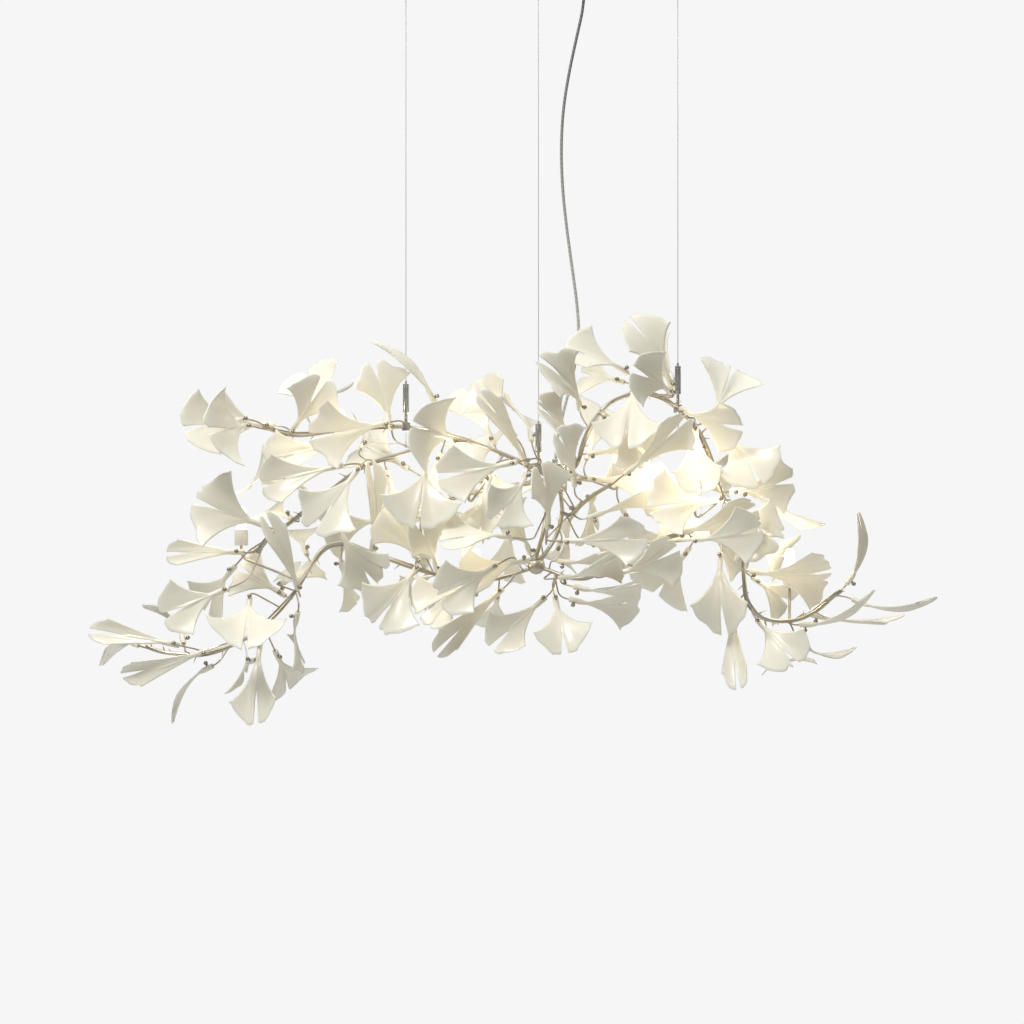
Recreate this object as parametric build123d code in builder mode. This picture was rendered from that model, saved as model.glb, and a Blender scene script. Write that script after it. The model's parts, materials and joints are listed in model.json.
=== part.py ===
"""Leaf chandelier: porcelain ginkgo leaves clamped on wire twigs, a brazed tube frame,
three suspension wires with push-button grippers and a long ceiling canopy.

Millimetres. Origin at the centre of the canopy's ceiling face, +Z up, +X right, +Y to the back.
"""
import os
from math import asin, cos, degrees, radians, sin, tan
from typing import NamedTuple

from build123d import *

os.makedirs("parts", exist_ok=True)

# Canopy and ceiling plate
CANOPY_LENGTH = 600.0
CANOPY_WIDTH = 104.0
CANOPY_HEIGHT = 36.0
CANOPY_WALL = 1.6
CANOPY_CORNER = 14.0
RIM_GAP = 0.5
PLATE_END_GAP = 0.4
PLATE_SIDE_GAP = 15.0
PLATE_LENGTH = CANOPY_LENGTH - 2 * (CANOPY_WALL + PLATE_END_GAP)
PLATE_WIDTH = CANOPY_WIDTH - 2 * PLATE_SIDE_GAP
PLATE_THICKNESS = 3.0
PLATE_HOLE_SPACING = 360.0
PLATE_HOLE_D = 5.5
SUPPLY_HOLE_X = -90.0
SUPPLY_HOLE_D = 16.0
TAB_WIDTH = 20.0
TAB_HEIGHT = 20.0
SIDE_SCREW_D = 4.0
SIDE_SCREW_HEAD_D = 8.0
SIDE_SCREW_Z = -14.0
SCREW_FIT = 0.1

# Suspension wires: place of each wire, and height of the branch that its saddle holds
WIRE_D = 1.2
WIRE_BORE_D = 1.6
WIRE_NIPPLE_D = 4.4
WIRE_NIPPLE_H = 5.0
NIPPLE_FIT = 0.1
WIRE_TAIL = 26.0
STOP_D = 3.6
STOP_H = 8.0
ANCHOR_D = 14.0
ANCHOR_H = 14.0
BUSH_D = 8.0
BUSH_FLANGE_D = 13.0
BUSH_FLANGE_H = 2.5
SADDLE_OFFSET = 10.0
WIRES = {
    "left": (-203.0, 20.0, -707.0),
    "middle": (-4.0, -26.0, -768.0),
    "right": (206.0, 20.0, -680.0),
}

# Wire grippers
BARREL_D = 9.0
BARREL_H = 38.0
STUD_D = 4.4
STUD_H = 24.0
STUD_IN_SADDLE = 8.0
STUD_FIT = 0.1
CAP_H = 4.0
PLUNGER_D = 5.0
PLUNGER_STEM_D = 3.6
PLUNGER_SHOULDER_H = 5.0
PLUNGER_OUT = 5.0
PLUNGER_TRAVEL = 3.0
PLUNGER_FIT = 0.08
SADDLE_X = 12.0
SADDLE_Z = 12.0
SADDLE_FIT = 0.1

# Power cable
CABLE_D = 4.4
CABLE_FIT = 0.2
GLAND_D = 15.0
GLAND_H = 7.0
GLAND_BARREL_D = 10.0
TERMINAL_SIZE = (34.0, 18.0, 16.0)
CABLE_IN_TERMINAL = 5.0
CABLE_TOP = (66.0, 0.0)
CABLE_ROUTE = (
    (66, 0, -68), (54, 0, -121), (42, 0, -176), (33, 0, -232), (30, 0, -290),
    (32, 1, -348), (38, 2, -406), (46, 4, -464), (54, 6, -521), (57, 8, -562), (55, 10, -595),
    (49, 13, -625), (41, 16, -657), (33, 18, -689), (26, 20, -718), (22, 20, -742),
)

# Brazed tube frame
TUBE_D = 6.0
TUBE_BORE_D = 3.8
LEAD_D = 2.4
BRAZE_SINK = 0.3
HUB = (22.0, 20.0, -786.0)
HUB_D = 34.0
HUB_H = 38.0
HUB_WALL = 2.5
LID_H = 4.0
SPLICE_SIZE = (15.0, 9.0, 12.0)
KNUCKLE = (-7.0, -2.0, -916.0)
KNUCKLE_D = 26.0
ROOT_CLEAR = 7.0

BRANCHES = {
    "left_upper": (
        (8, 11, -781), (-2, -10, -772), (-20, -16, -764), (-61, -12, -746), (-121, -5, -725),
        (-172, 16, -712), (-203, 30, -707), (-240, 32, -705), (-301, 22, -712), (-361, 10, -721),
        (-388, 4, -718), (-418, 0, -707),
    ),
    "left_middle": (
        (-174, -18, -733), (-205, -34, -748), (-240, -42, -756), (-264, -46, -766),
        (-300, -44, -792), (-340, -36, -826), (-384, -26, -858), (-408, -20, -870), (-426, -16, -896),
    ),
    "left_lower": (
        (-15, -2, -920), (-61, 0, -935), (-121, 8, -938), (-181, 14, -924), (-249, 18, -899),
        (-294, 16, -880), (-326, 10, -886), (-347, 4, -918), (-366, 0, -952), (-397, -4, -990),
        (-432, -6, -1020), (-471, 0, -1040), (-519, 5, -1051), (-571, 12, -1046), (-594, 18, -1038),
    ),
    "right_arch": (
        (37, 20, -780), (56, 18, -764), (62, 14, -732), (78, 10, -698), (104, 8, -669), (148, 12, -654),
        (184, 24, -664), (206, 30, -680), (236, 24, -708), (256, 12, -752), (267, 2, -802),
        (289, -4, -840), (304, -6, -884), (303, -8, -930), (308, -8, -968), (326, -6, -992),
        (352, -4, -1000), (386, -4, -998), (414, -4, -984), (438, -4, -962), (450, -4, -954),
    ),
    "right_lower": (
        (1, -3, -919), (51, -24, -938), (89, -38, -926), (141, -48, -894), (186, -52, -874), (226, -48, -864),
    ),
    "centre_right": (
        (44, -22, -842), (62, -48, -822), (84, -66, -806), (104, -74, -794),
    ),
    "rear_left": (
        (12, 32, -786), (-50, 72, -796), (-130, 96, -812), (-206, 104, -846),
    ),
    "rear_right": (
        (32, 32, -786), (84, 72, -782), (150, 92, -800), (214, 90, -838),
    ),
    "riser_front": (
        (14, 16, -802), (8, 4, -836), (4, -8, -866), (-9, -4, -907),
    ),
    "riser_rear": (
        (29, 24, -802), (33, 18, -836), (24, 8, -872), (-1, 1, -909),
    ),
}

# Branches that grow from the wall of another branch
BRANCH_ROOTS = {"left_middle": "left_upper", "centre_right": "riser_rear"}

# Leaves: stalk socket, twig and clamp screw
LEAF_T = 2.4
STALK_D = 8.4
STALK_H = 20.0
STALK_TIP_X = 40.0
STALK_TIP_D = 3.2
FLAT_X = 12.0
BLADE_START_W = 6.6
SLIT_GAP = 7.0
TWIG_D = 2.4
SOCKET_FIT = 0.3
SOCKET_DEPTH = 15.0
TWIG_IN_SOCKET = 13.0
CLAMP_X = 9.0
CLAMP_D = 2.4
CLAMP_FIT = 0.2
CLAMP_GAP = 0.05
BALL_D = 6.6
BALL_RISE = 4.2
PRISM = 74.0


class Mould(NamedTuple):
    length: float
    width: float
    corner: float
    slit: float
    roll: float
    arch: float


MOULDS = {
    "fan": Mould(118, 104, 0.78, 36, 84, -200),
    "broad": Mould(110, 120, 0.74, 30, 92, -170),
    "cupped": Mould(126, 74, 0.80, 38, 44, -340),
    "horn": Mould(138, 46, 0.82, 42, 26, -280),
    "small": Mould(102, 88, 0.78, 30, 66, -160),
    "arched": Mould(112, 86, 0.78, 30, 66, -120),
    "sabre": Mould(124, 54, 0.80, 28, 60, -150),
}


class Leaf(NamedTuple):
    mould: str
    x: float
    y: float
    z: float
    heading: float
    tilt: float
    turn: float


SPRAYS = {
    "left_tip": (
        Leaf("horn", -540, -30, -1035, 168, 0, 15),
        Leaf("sabre", -608, 49, -1037, 165, -60, 80),
        Leaf("horn", -494, -58, -1040, 200, 0, -15),
        Leaf("sabre", -492, -8, -1066, 207, -35, 85),
        Leaf("sabre", -538, 30, -1034, 108, -50, 80),
    ),
    "left_bottom": (
        Leaf("broad", -434, -49, -964, 268, 66, 0),
        Leaf("cupped", -420, -25, -1030, 266, 30, 15),
        Leaf("fan", -400, 18, -1044, 292, -45, -25),
        Leaf("small", -430, 22, -1058, 203, -62, 40),
        Leaf("small", -364, -13, -985, 256, -35, 75),
    ),
    "left_middle": (
        Leaf("small", -466, -47, -949, 202, 21, 6),
        Leaf("small", -460, 34, -916, 229, -20, 26),
        Leaf("broad", -408, -40, -858, 160, 20, 0),
        Leaf("horn", -446, 9, -896, 179, -19, 11),
        Leaf("horn", -362, -50, -951, 106, 40, 30),
        Leaf("small", -374, 22, -846, 153, -50, 40),
        Leaf("small", -352, 28, -900, 115, -50, 40),
        Leaf("small", -384, 24, -962, 150, -20, 0),
        Leaf("small", -394, 38, -943, 7, -70, 92),
        Leaf("small", -343, 0, -816, 133, -26, -15),
    ),
    "left_upper": (
        Leaf("fan", -442, -36, -698, 185, 58, 15),
        Leaf("broad", -440, -62, -708, 190, 80, 0),
        Leaf("small", -402, 34, -705, 175, -12, 0),
        Leaf("fan", -350, 57, -685, 73, -60, -25),
        Leaf("small", -373, -23, -715, 52, 43, 18),
        Leaf("cupped", -296, 25, -732, 190, 24, 31),
        Leaf("cupped", -294, -62, -766, 192, 0, 10),
        Leaf("small", -400, 2, -781, 168, -58, 24),
        Leaf("fan", -270, -88, -770, 234, 34, 0),
        Leaf("fan", -226, -46, -702, 193, 26, -10),
        Leaf("fan", -310, 54, -705, 120, -20, 0),
    ),
    "left_centre": (
        Leaf("sabre", -159, -18, -672, 116, 20, 65),
        Leaf("small", -224, -8, -713, 101, 22, 18),
        Leaf("broad", -132, -49, -728, 160, 72, 0),
        Leaf("small", -270, 4, -741, 60, -62, 0),
        Leaf("broad", -170, -92, -758, 263, 40, 0),
        Leaf("horn", -253, -34, -894, 81, 27, 46),
        Leaf("small", -306, -58, -856, 303, 15, 0),
        Leaf("small", -300, 21, -909, 268, -60, 89),
        Leaf("fan", -150, 36, -745, 250, -15, 10),
        Leaf("small", -232, 6, -772, 285, -20, 10),
    ),
    "lower_left": (
        Leaf("small", -182, -19, -910, 122, 40, 0),
        Leaf("fan", -184, -50, -916, 235, 40, 0),
        Leaf("small", -156, -40, -921, 100, 52, 40),
        Leaf("small", -152, 28, -946, 235, -50, 20),
        Leaf("fan", -80, -52, -940, 196, 28, 42),
        Leaf("small", -66, -92, -914, 210, 34, 0),
        Leaf("small", -126, 26, -930, 175, -45, 80),
        Leaf("horn", -57, -30, -950, 222, 20, 10),
        Leaf("small", -64, 18, -952, 262, -40, 0),
        Leaf("fan", -120, 38, -925, 80, -30, 0),
    ),
    "bottom": (
        Leaf("cupped", 6, -46, -963, 220, 40, 15),
        Leaf("small", 20, -84, -962, 283, 52, -10),
        Leaf("small", 48, -78, -946, 347, 30, 80),
        Leaf("small", 42, -18, -966, 347, 15, 55),
        Leaf("small", 25, -22, -909, 356, 23, 66),
        Leaf("small", 28, -102, -933, 6, 38, 70),
    ),
    "centre": (
        Leaf("cupped", 33, -151, -878, 1, 29, 14),
        Leaf("cupped", 70, -47, -844, 18, 5, 60),
        Leaf("small", -22, -140, -779, 244, 49, -28),
        Leaf("small", 9, -41, -795, 191, -3, 33),
        Leaf("small", -17, -39, -897, 109, 50, 56),
        Leaf("small", -44, -132, -873, 172, 20, 55),
        Leaf("small", -18, -60, -908, 188, 20, 50),
        Leaf("small", 56, -18, -826, 240, -43, 69),
        Leaf("small", 80, -12, -810, 247, -58, 80),
        Leaf("small", 30, 30, -880, 250, -58, 0),
        Leaf("small", 68, 0, -880, 346, -47, 19),
        Leaf("small", 9, -107, -861, 86, 35, 46),
    ),
    "upper_centre": (
        Leaf("small", 130, -15, -628, 149, 25, 50),
        Leaf("small", 126, 28, -640, 165, -35, 10),
        Leaf("arched", 58, -32, -682, 100, 58, 62),
        Leaf("small", 46, -58, -741, 112, 44, 70),
        Leaf("small", 49, -94, -797, 92, 44, 68),
        Leaf("small", -38, -34, -724, 128, 0, -25),
        Leaf("horn", -23, -32, -764, 115, 35, 42),
        Leaf("small", -14, 14, -729, 100, -48, 60),
        Leaf("small", 94, -25, -694, 318, 44, 0),
        Leaf("fan", 141, -32, -645, 254, 51, 17),
        Leaf("small", 70, -6, -748, 6, 15, 35),
        Leaf("cupped", 70, 3, -784, -7, -6, 4),
        Leaf("cupped", 123, -82, -780, 38, 20, 30),
        Leaf("arched", -36, -155, -762, 192, 9, -4),
        Leaf("small", -76, -74, -783, 252, 37, 32),
        Leaf("fan", -70, 32, -735, 115, -20, 0),
        Leaf("fan", 100, 46, -690, 300, -25, 0),
    ),
    "right_upper": (
        Leaf("arched", 196, -16, -650, 112, 25, 25),
        Leaf("small", 192, -50, -656, 148, 66, 10),
        Leaf("small", 198, 52, -639, 88, -62, 80),
        Leaf("small", 207, -57, -681, 331, 39, 38),
        Leaf("fan", 257, 20, -698, 67, -28, -3),
        Leaf("fan", 264, -31, -712, 312, 45, -20),
        Leaf("cupped", 231, -30, -710, 270, 48, 10),
        Leaf("small", 229, -18, -719, 253, 19, 49),
        Leaf("small", 283, 10, -805, 7, -5, 12),
        Leaf("horn", 304, 22, -798, 324, -10, 65),
        Leaf("fan", 244, 37, -761, 214, -8, 3),
    ),
    "right_middle": (
        Leaf("fan", 270, -50, -818, 182, 38, 20),
        Leaf("cupped", 203, -78, -867, 13, 28, 35),
        Leaf("small", 221, -119, -877, 6, 23, 13),
        Leaf("arched", 268, -52, -897, 263, 40, 20),
        Leaf("fan", 311, -24, -924, 352, 12, 35),
        Leaf("small", 317, 14, -933, 326, -30, 0),
        Leaf("fan", 280, -32, -824, 315, 55, 25),
        Leaf("small", 296, 18, -850, 310, -50, 10),
        Leaf("small", 316, 28, -885, 340, -40, 10),
        Leaf("fan", 222, -32, -888, 236, -30, 0),
        Leaf("small", 106, -94, -928, 14, 20, 35),
        Leaf("fan", 152, -27, -908, 47, -16, -9),
    ),
    "right_tip": (
        Leaf("horn", 288, -25, -985, 264, 48, 30),
        Leaf("small", 322, -42, -996, 310, 50, 0),
        Leaf("small", 350, 20, -1050, 318, -62, 40),
        Leaf("sabre", 392, 10, -1032, 320, -48, 75),
        Leaf("sabre", 387, -28, -1004, 2, 34, 80),
        Leaf("horn", 406, 16, -990, 348, 0, 80),
        Leaf("sabre", 466, -16, -966, 338, 28, 85),
        Leaf("sabre", 460, 12, -943, 58, 45, 75),
    ),
    "rear": (
        Leaf("fan", -200, 84, -770, 150, -30, 20),
        Leaf("fan", -236, 104, -846, 190, -20, -20),
        Leaf("small", -146, 151, -856, 233, -32, 57),
        Leaf("fan", -90, 104, -790, 100, -40, 0),
        Leaf("cupped", -44, 104, -850, 260, -35, 0),
        Leaf("fan", 70, 100, -756, 70, -30, 10),
        Leaf("fan", 124, 110, -830, 300, -30, 0),
        Leaf("cupped", 200, 104, -806, 20, -30, 30),
        Leaf("fan", 238, 108, -852, 330, -20, -10),
    ),
}

# Branches that each spray's twigs are brazed to, and the twig group that each spray belongs to
SPRAY_BRANCHES = {
    "left_tip": ("left_lower",),
    "left_bottom": ("left_lower", "left_middle"),
    "left_middle": ("left_lower", "left_middle"),
    "left_upper": ("left_upper", "left_middle"),
    "left_centre": ("left_upper", "left_middle", "left_lower"),
    "lower_left": ("left_lower",),
    "bottom": ("left_lower", "right_lower"),
    "centre": ("riser_front", "riser_rear", "centre_right", "right_lower"),
    "upper_centre": ("left_upper", "right_arch", "centre_right"),
    "right_upper": ("right_arch",),
    "right_middle": ("right_arch", "right_lower"),
    "right_tip": ("right_arch",),
    "rear": ("rear_left", "rear_right", "riser_rear"),
}
TWIG_GROUPS = {
    "twigs_left_end": ("left_tip", "left_bottom", "left_middle"),
    "twigs_left_top": ("left_upper", "left_centre"),
    "twigs_low": ("lower_left", "bottom"),
    "twigs_centre": ("centre", "upper_centre", "rear"),
    "twigs_right": ("right_upper", "right_middle", "right_tip"),
}

# Lamps: plug-in capsules standing upright in holders on bent arms
LAMPS = (
    ("left_lower", (-452, 44, -886)),
    ("left_upper", (-300, -30, -741)),
    ("left_lower", (-180, -10, -850)),
    ("left_lower", (-98, -18, -950)),
    ("left_upper", (-108, -44, -808)),
    ("right_arch", (118, 34, -786)),
    ("right_arch", (230, -22, -830)),
    ("right_arch", (374, 18, -950)),
)
ARM_D = 4.0
ARM_IN_HOLDER = 6.0
ARM_FIT = 0.1
ARM_DROP = 18.0
HOLDER_D = 20.0
HOLDER_H = 24.0
SOCKET_D = 16.0
SOCKET_H = 10.0
BULB_FIT = 0.1
PIN_D = 1.0
PIN_H = 8.0
PIN_SPACING = 9.0
PIN_FIT = 0.1
BULB_BASE_H = 12.0
CAPSULE_D = 15.0
CAPSULE_H = 34.0


def unit(vector):
    """The vector at length one."""
    return vector / vector.length


def leaf_plane(leaf):
    """Leaf frame: X along the stalk, Z out of the face. Turn 0 faces the front as far as it can."""
    level = cos(radians(leaf.tilt))
    along = Vector(
        level * cos(radians(leaf.heading)), -sin(radians(leaf.tilt)), level * sin(radians(leaf.heading))
    )
    front = Vector(0, -1, 0)
    facing = unit(front - along * front.dot(along))
    side = along.cross(facing)
    normal = facing * cos(radians(leaf.turn)) + side * sin(radians(leaf.turn))
    return Plane(origin=(leaf.x, leaf.y, leaf.z), x_dir=along, z_dir=normal)


def bend_radii(points, share):
    """Arc radius at each inner point, so that each arc takes one share of its shorter run."""
    radii = []
    for before, here, after in zip(points, points[1:], points[2:]):
        run_in = here - before
        run_out = after - here
        half_turn = radians(run_in.get_angle(run_out)) / 2
        radii.append(share * min(run_in.length, run_out.length) / tan(half_turn))
    return radii


def route_line(points, share=0.45):
    """Straight runs joined by tangent arcs, drawn in the open line context."""
    stops = [Vector(*point) for point in points]
    return FilletPolyline(*stops, radius=bend_radii(stops, share))


def tube(points, diameter, bore=0.0, share=0.45):
    """Round rod or tube along the route."""
    with BuildPart() as piece:
        with BuildLine() as route:
            route_line(points, share)
        with BuildSketch(Plane(origin=route.line @ 0, z_dir=route.line % 0)):
            Circle(diameter / 2)
            if bore:
                Circle(bore / 2, mode=Mode.SUBTRACT)
        sweep()
    return piece.part


def clear_of_fittings(point):
    """Whether a twig can be brazed here: not inside the hub, the knuckle or a saddle."""
    fittings = [(Vector(*HUB), HUB_D / 2), (Vector(*KNUCKLE), KNUCKLE_D / 2)]
    for wire_x, wire_y, saddle_z in WIRES.values():
        fittings.append((Vector(wire_x, wire_y + SADDLE_OFFSET / 2, saddle_z), SADDLE_OFFSET))
    return all((point - centre).length > radius + ROOT_CLEAR for centre, radius in fittings)


def route_stations(points, count):
    """Places on the route with its direction there, from root to end, where a twig can be brazed."""
    with BuildLine() as route:
        route_line(points)
    steps = [index / count for index in range(2, count - 1)]
    places = [(route.line @ step, route.line % step) for step in steps]
    return [place for place in places if clear_of_fittings(place[0])]


def braze_point(branch_names, target, step_back):
    """Point in the wall of the nearest branch, a little back towards the branch's root."""
    best = None
    for name in branch_names:
        for index, (station, along) in enumerate(STATIONS[name]):
            gap = (station - target).length
            if best is None or gap < best[0]:
                best = (gap, name, index)
    gap, name, index = best
    stations = STATIONS[name]
    pitch = (stations[1][0] - stations[0][0]).length
    here, along = stations[max(0, index - int(step_back * gap / pitch))]
    out = target - here
    out = unit(out - along * out.dot(along))
    return here + out * (TUBE_D / 2 - BRAZE_SINK)


STATIONS = {}
for branch_name, branch_route in BRANCHES.items():
    if branch_name not in BRANCH_ROOTS:
        STATIONS[branch_name] = route_stations(branch_route, 160)
for branch_name, parent_name in BRANCH_ROOTS.items():
    branch_route = BRANCHES[branch_name]
    root = braze_point((parent_name,), Vector(*branch_route[0]), 0.3)
    BRANCHES[branch_name] = (tuple(root),) + branch_route
    STATIONS[branch_name] = route_stations(BRANCHES[branch_name], 160)


def group(label, shapes):
    """Separate solids under one name, not fused."""
    return Compound([solid for shape in shapes for solid in shape.solids()], label=label)


def twig_route(leaf, branch_names):
    """Twig from the branch wall, bending into the leaf's stalk socket."""
    frame = leaf_plane(leaf)
    stem = frame.origin
    along = frame.x_dir
    root = braze_point(branch_names, stem - along * 22, 0.35)
    lead = max(11.0, min(34.0, 0.38 * (stem - root).length))
    return (root, stem - along * lead, stem + along * TWIG_IN_SOCKET)


def build_leaf(mould):
    """One leaf: fan outline cut from a doubly curved shell, with a bored stalk."""
    corner_x = mould.corner * mould.length
    half = mould.width / 2
    flank_mid = (0.5 * (FLAT_X + corner_x) + 0.05 * mould.length, 0.30 * half)
    rim_mid = (0.5 * (corner_x + mould.length) + 0.075 * mould.length, 0.62 * half)
    reach = degrees(asin(min(0.985, 1.06 * half / mould.roll)))
    outer = mould.roll + LEAF_T / 2
    inner = mould.roll - LEAF_T / 2
    with BuildPart() as leaf:
        with BuildSketch(Plane.XY.offset(-PRISM)):
            with BuildLine():
                Line((FLAT_X, 0), (FLAT_X, BLADE_START_W / 2))
                ThreePointArc((FLAT_X, BLADE_START_W / 2), flank_mid, (corner_x, half))
                ThreePointArc((corner_x, half), rim_mid, (mould.length, SLIT_GAP / 2))
                Line((mould.length, SLIT_GAP / 2), (mould.length - mould.slit, 0))
                mirror(about=Plane.XZ)
            make_face()
        extrude(amount=2 * PRISM)
        with BuildSketch(Plane(origin=(FLAT_X, 0, 0), x_dir=(0, 1, 0), z_dir=(1, 0, 0))):
            with BuildLine():
                under = CenterArc((0, mould.roll), outer, -90 - reach, 2 * reach)
                over = CenterArc((0, mould.roll), inner, -90 - reach, 2 * reach)
                Line(under @ 0, over @ 0)
                Line(under @ 1, over @ 1)
            make_face()
        revolve(axis=Axis((FLAT_X, 0, mould.arch), (0, 1, 0)), mode=Mode.INTERSECT)
        with BuildSketch(Plane.XZ):
            with BuildLine():
                Polyline(
                    (0, 0), (0, STALK_D / 2), (STALK_H, STALK_D / 2),
                    (STALK_TIP_X, STALK_TIP_D / 2), (STALK_TIP_X, 0), close=True,
                )
            make_face()
        revolve(axis=Axis.X)
        with BuildSketch(Plane.YZ):
            Circle((TWIG_D + SOCKET_FIT) / 2)
        extrude(amount=SOCKET_DEPTH, mode=Mode.SUBTRACT)
        with BuildSketch(Plane.XY):
            with Locations((CLAMP_X, 0)):
                Circle((CLAMP_D + CLAMP_FIT) / 2)
        extrude(amount=STALK_D, mode=Mode.SUBTRACT)
    return leaf.part


LEAF_PARTS = {name: build_leaf(mould) for name, mould in MOULDS.items()}

# Clamp screw: shank bears on the twig, ball head outside the stalk
shank_foot = TWIG_D / 2 + CLAMP_GAP
ball_centre = STALK_D / 2 + BALL_RISE
with BuildPart() as clamp_screw:
    with BuildSketch(Plane.XY.offset(shank_foot)):
        with Locations((CLAMP_X, 0)):
            Circle(CLAMP_D / 2)
    extrude(amount=ball_centre - shank_foot)
    with Locations((CLAMP_X, 0, ball_centre)):
        Sphere(BALL_D / 2)

all_leaves = [leaf for spray in SPRAYS.values() for leaf in spray]
leaf_screws = group(
    "leaf_screws", [clamp_screw.part.moved(leaf_plane(leaf).location) for leaf in all_leaves]
)
export_step(leaf_screws, "parts/leaf_screws.step")

for spray_name, spray in SPRAYS.items():
    leaves = group(
        f"leaves_{spray_name}",
        [LEAF_PARTS[leaf.mould].moved(leaf_plane(leaf).location) for leaf in spray],
    )
    export_step(leaves, f"parts/leaves_{spray_name}.step")

for group_name, spray_names in TWIG_GROUPS.items():
    twigs = group(
        group_name,
        [
            tube(twig_route(leaf, SPRAY_BRANCHES[spray_name]), TWIG_D, share=0.36)
            for spray_name in spray_names
            for leaf in SPRAYS[spray_name]
        ],
    )
    export_step(twigs, f"parts/{group_name}.step")

# Branch tubes and the leads inside them
branch_parts = {name: tube(points, TUBE_D, TUBE_BORE_D) for name, points in BRANCHES.items()}
for name in ("left_upper", "left_middle", "left_lower", "right_arch", "right_lower", "centre_right"):
    branch_parts[name].label = f"branch_{name}"
    export_step(branch_parts[name], f"parts/branch_{name}.step")
with BuildPart() as branches_rear:
    add(branch_parts["rear_left"])
    add(branch_parts["rear_right"])
branches_rear.part.label = "branches_rear"
export_step(branches_rear.part, "parts/branches_rear.step")
with BuildPart() as hub_risers:
    add(branch_parts["riser_front"])
    add(branch_parts["riser_rear"])
hub_risers.part.label = "hub_risers"
export_step(hub_risers.part, "parts/hub_risers.step")

with BuildPart() as branch_leads:
    for name in ("left_upper", "left_middle", "left_lower", "right_arch", "riser_rear"):
        lead = tube(BRANCHES[name], LEAD_D)
        if name in BRANCH_ROOTS:
            lead -= tube(BRANCHES[BRANCH_ROOTS[name]], TUBE_D)
        add(lead)
branch_leads.part.label = "branch_leads"
export_step(branch_leads.part, "parts/branch_leads.step")

# Hub cup, lid, splice block and lower knuckle, each pierced by the tubes that it holds
HUB_TUBES = ("left_upper", "right_arch", "rear_left", "rear_right", "riser_front", "riser_rear")
hub_x, hub_y, hub_z = HUB
hub_floor = hub_z - HUB_H / 2
with BuildPart() as hub_cup:
    with BuildSketch(Plane.XY.offset(hub_floor)):
        with Locations((hub_x, hub_y)):
            Circle(HUB_D / 2)
    extrude(amount=HUB_H)
    with BuildSketch(Plane.XY.offset(hub_floor + HUB_WALL)):
        with Locations((hub_x, hub_y)):
            Circle(HUB_D / 2 - HUB_WALL)
    extrude(amount=HUB_H, mode=Mode.SUBTRACT)
    for name in HUB_TUBES:
        add(tube(BRANCHES[name], TUBE_D), mode=Mode.SUBTRACT)
hub_cup.part.label = "hub_cup"
export_step(hub_cup.part, "parts/hub_cup.step")

with BuildPart() as hub_lid:
    with BuildSketch(Plane.XY.offset(hub_floor + HUB_H)):
        with Locations((hub_x, hub_y)):
            Circle(HUB_D / 2)
    extrude(amount=LID_H)
    with BuildSketch(Plane.XY.offset(hub_floor + HUB_H + LID_H)):
        with Locations((hub_x, hub_y)):
            Circle(GLAND_BARREL_D / 2)
    extrude(amount=GLAND_H)
    with BuildSketch(Plane.XY.offset(hub_floor + HUB_H)):
        with Locations((hub_x, hub_y)):
            Circle((CABLE_D + CABLE_FIT) / 2)
    extrude(amount=LID_H + GLAND_H, mode=Mode.SUBTRACT)
hub_lid.part.label = "hub_lid"
export_step(hub_lid.part, "parts/hub_lid.step")

with BuildPart() as splice_block:
    with Locations((hub_x, hub_y, hub_floor + HUB_H - SPLICE_SIZE[2] / 2)):
        Box(*SPLICE_SIZE)
    with BuildSketch(Plane.XY.offset(hub_floor + HUB_H)):
        with Locations((hub_x, hub_y)):
            Circle((CABLE_D + CABLE_FIT) / 2)
    extrude(amount=-CABLE_IN_TERMINAL, mode=Mode.SUBTRACT)
splice_block.part.label = "splice_block"
export_step(splice_block.part, "parts/splice_block.step")

with BuildPart() as lower_knuckle:
    with Locations(KNUCKLE):
        Sphere(KNUCKLE_D / 2)
    for name in ("left_lower", "right_lower", "riser_front", "riser_rear"):
        add(tube(BRANCHES[name], TUBE_D), mode=Mode.SUBTRACT)
lower_knuckle.part.label = "lower_knuckle"
export_step(lower_knuckle.part, "parts/lower_knuckle.step")

# Wires, with a nipple in the ceiling anchor, and a crimped stop on each tail
for side, (wire_x, wire_y, saddle_z) in WIRES.items():
    nipple_top = -PLATE_THICKNESS - NIPPLE_FIT
    tail_end = saddle_z - SADDLE_Z / 2 - WIRE_TAIL
    with BuildPart() as wire:
        with BuildSketch(Plane.XY.offset(tail_end)):
            with Locations((wire_x, wire_y)):
                Circle(WIRE_D / 2)
        extrude(amount=nipple_top - tail_end)
        with BuildSketch(Plane.XY.offset(nipple_top - WIRE_NIPPLE_H)):
            with Locations((wire_x, wire_y)):
                Circle(WIRE_NIPPLE_D / 2)
        extrude(amount=WIRE_NIPPLE_H)
    wire.part.label = f"wire_{side}"
    export_step(wire.part, f"parts/wire_{side}.step")

with BuildPart() as wire_stops:
    for wire_x, wire_y, saddle_z in WIRES.values():
        with BuildSketch(Plane.XY.offset(saddle_z - SADDLE_Z / 2 - WIRE_TAIL)):
            with Locations((wire_x, wire_y)):
                Circle(STOP_D / 2)
                Circle(WIRE_D / 2, mode=Mode.SUBTRACT)
        extrude(amount=STOP_H)
wire_stops.part.label = "wire_stops"
export_step(wire_stops.part, "parts/wire_stops.step")

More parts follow.
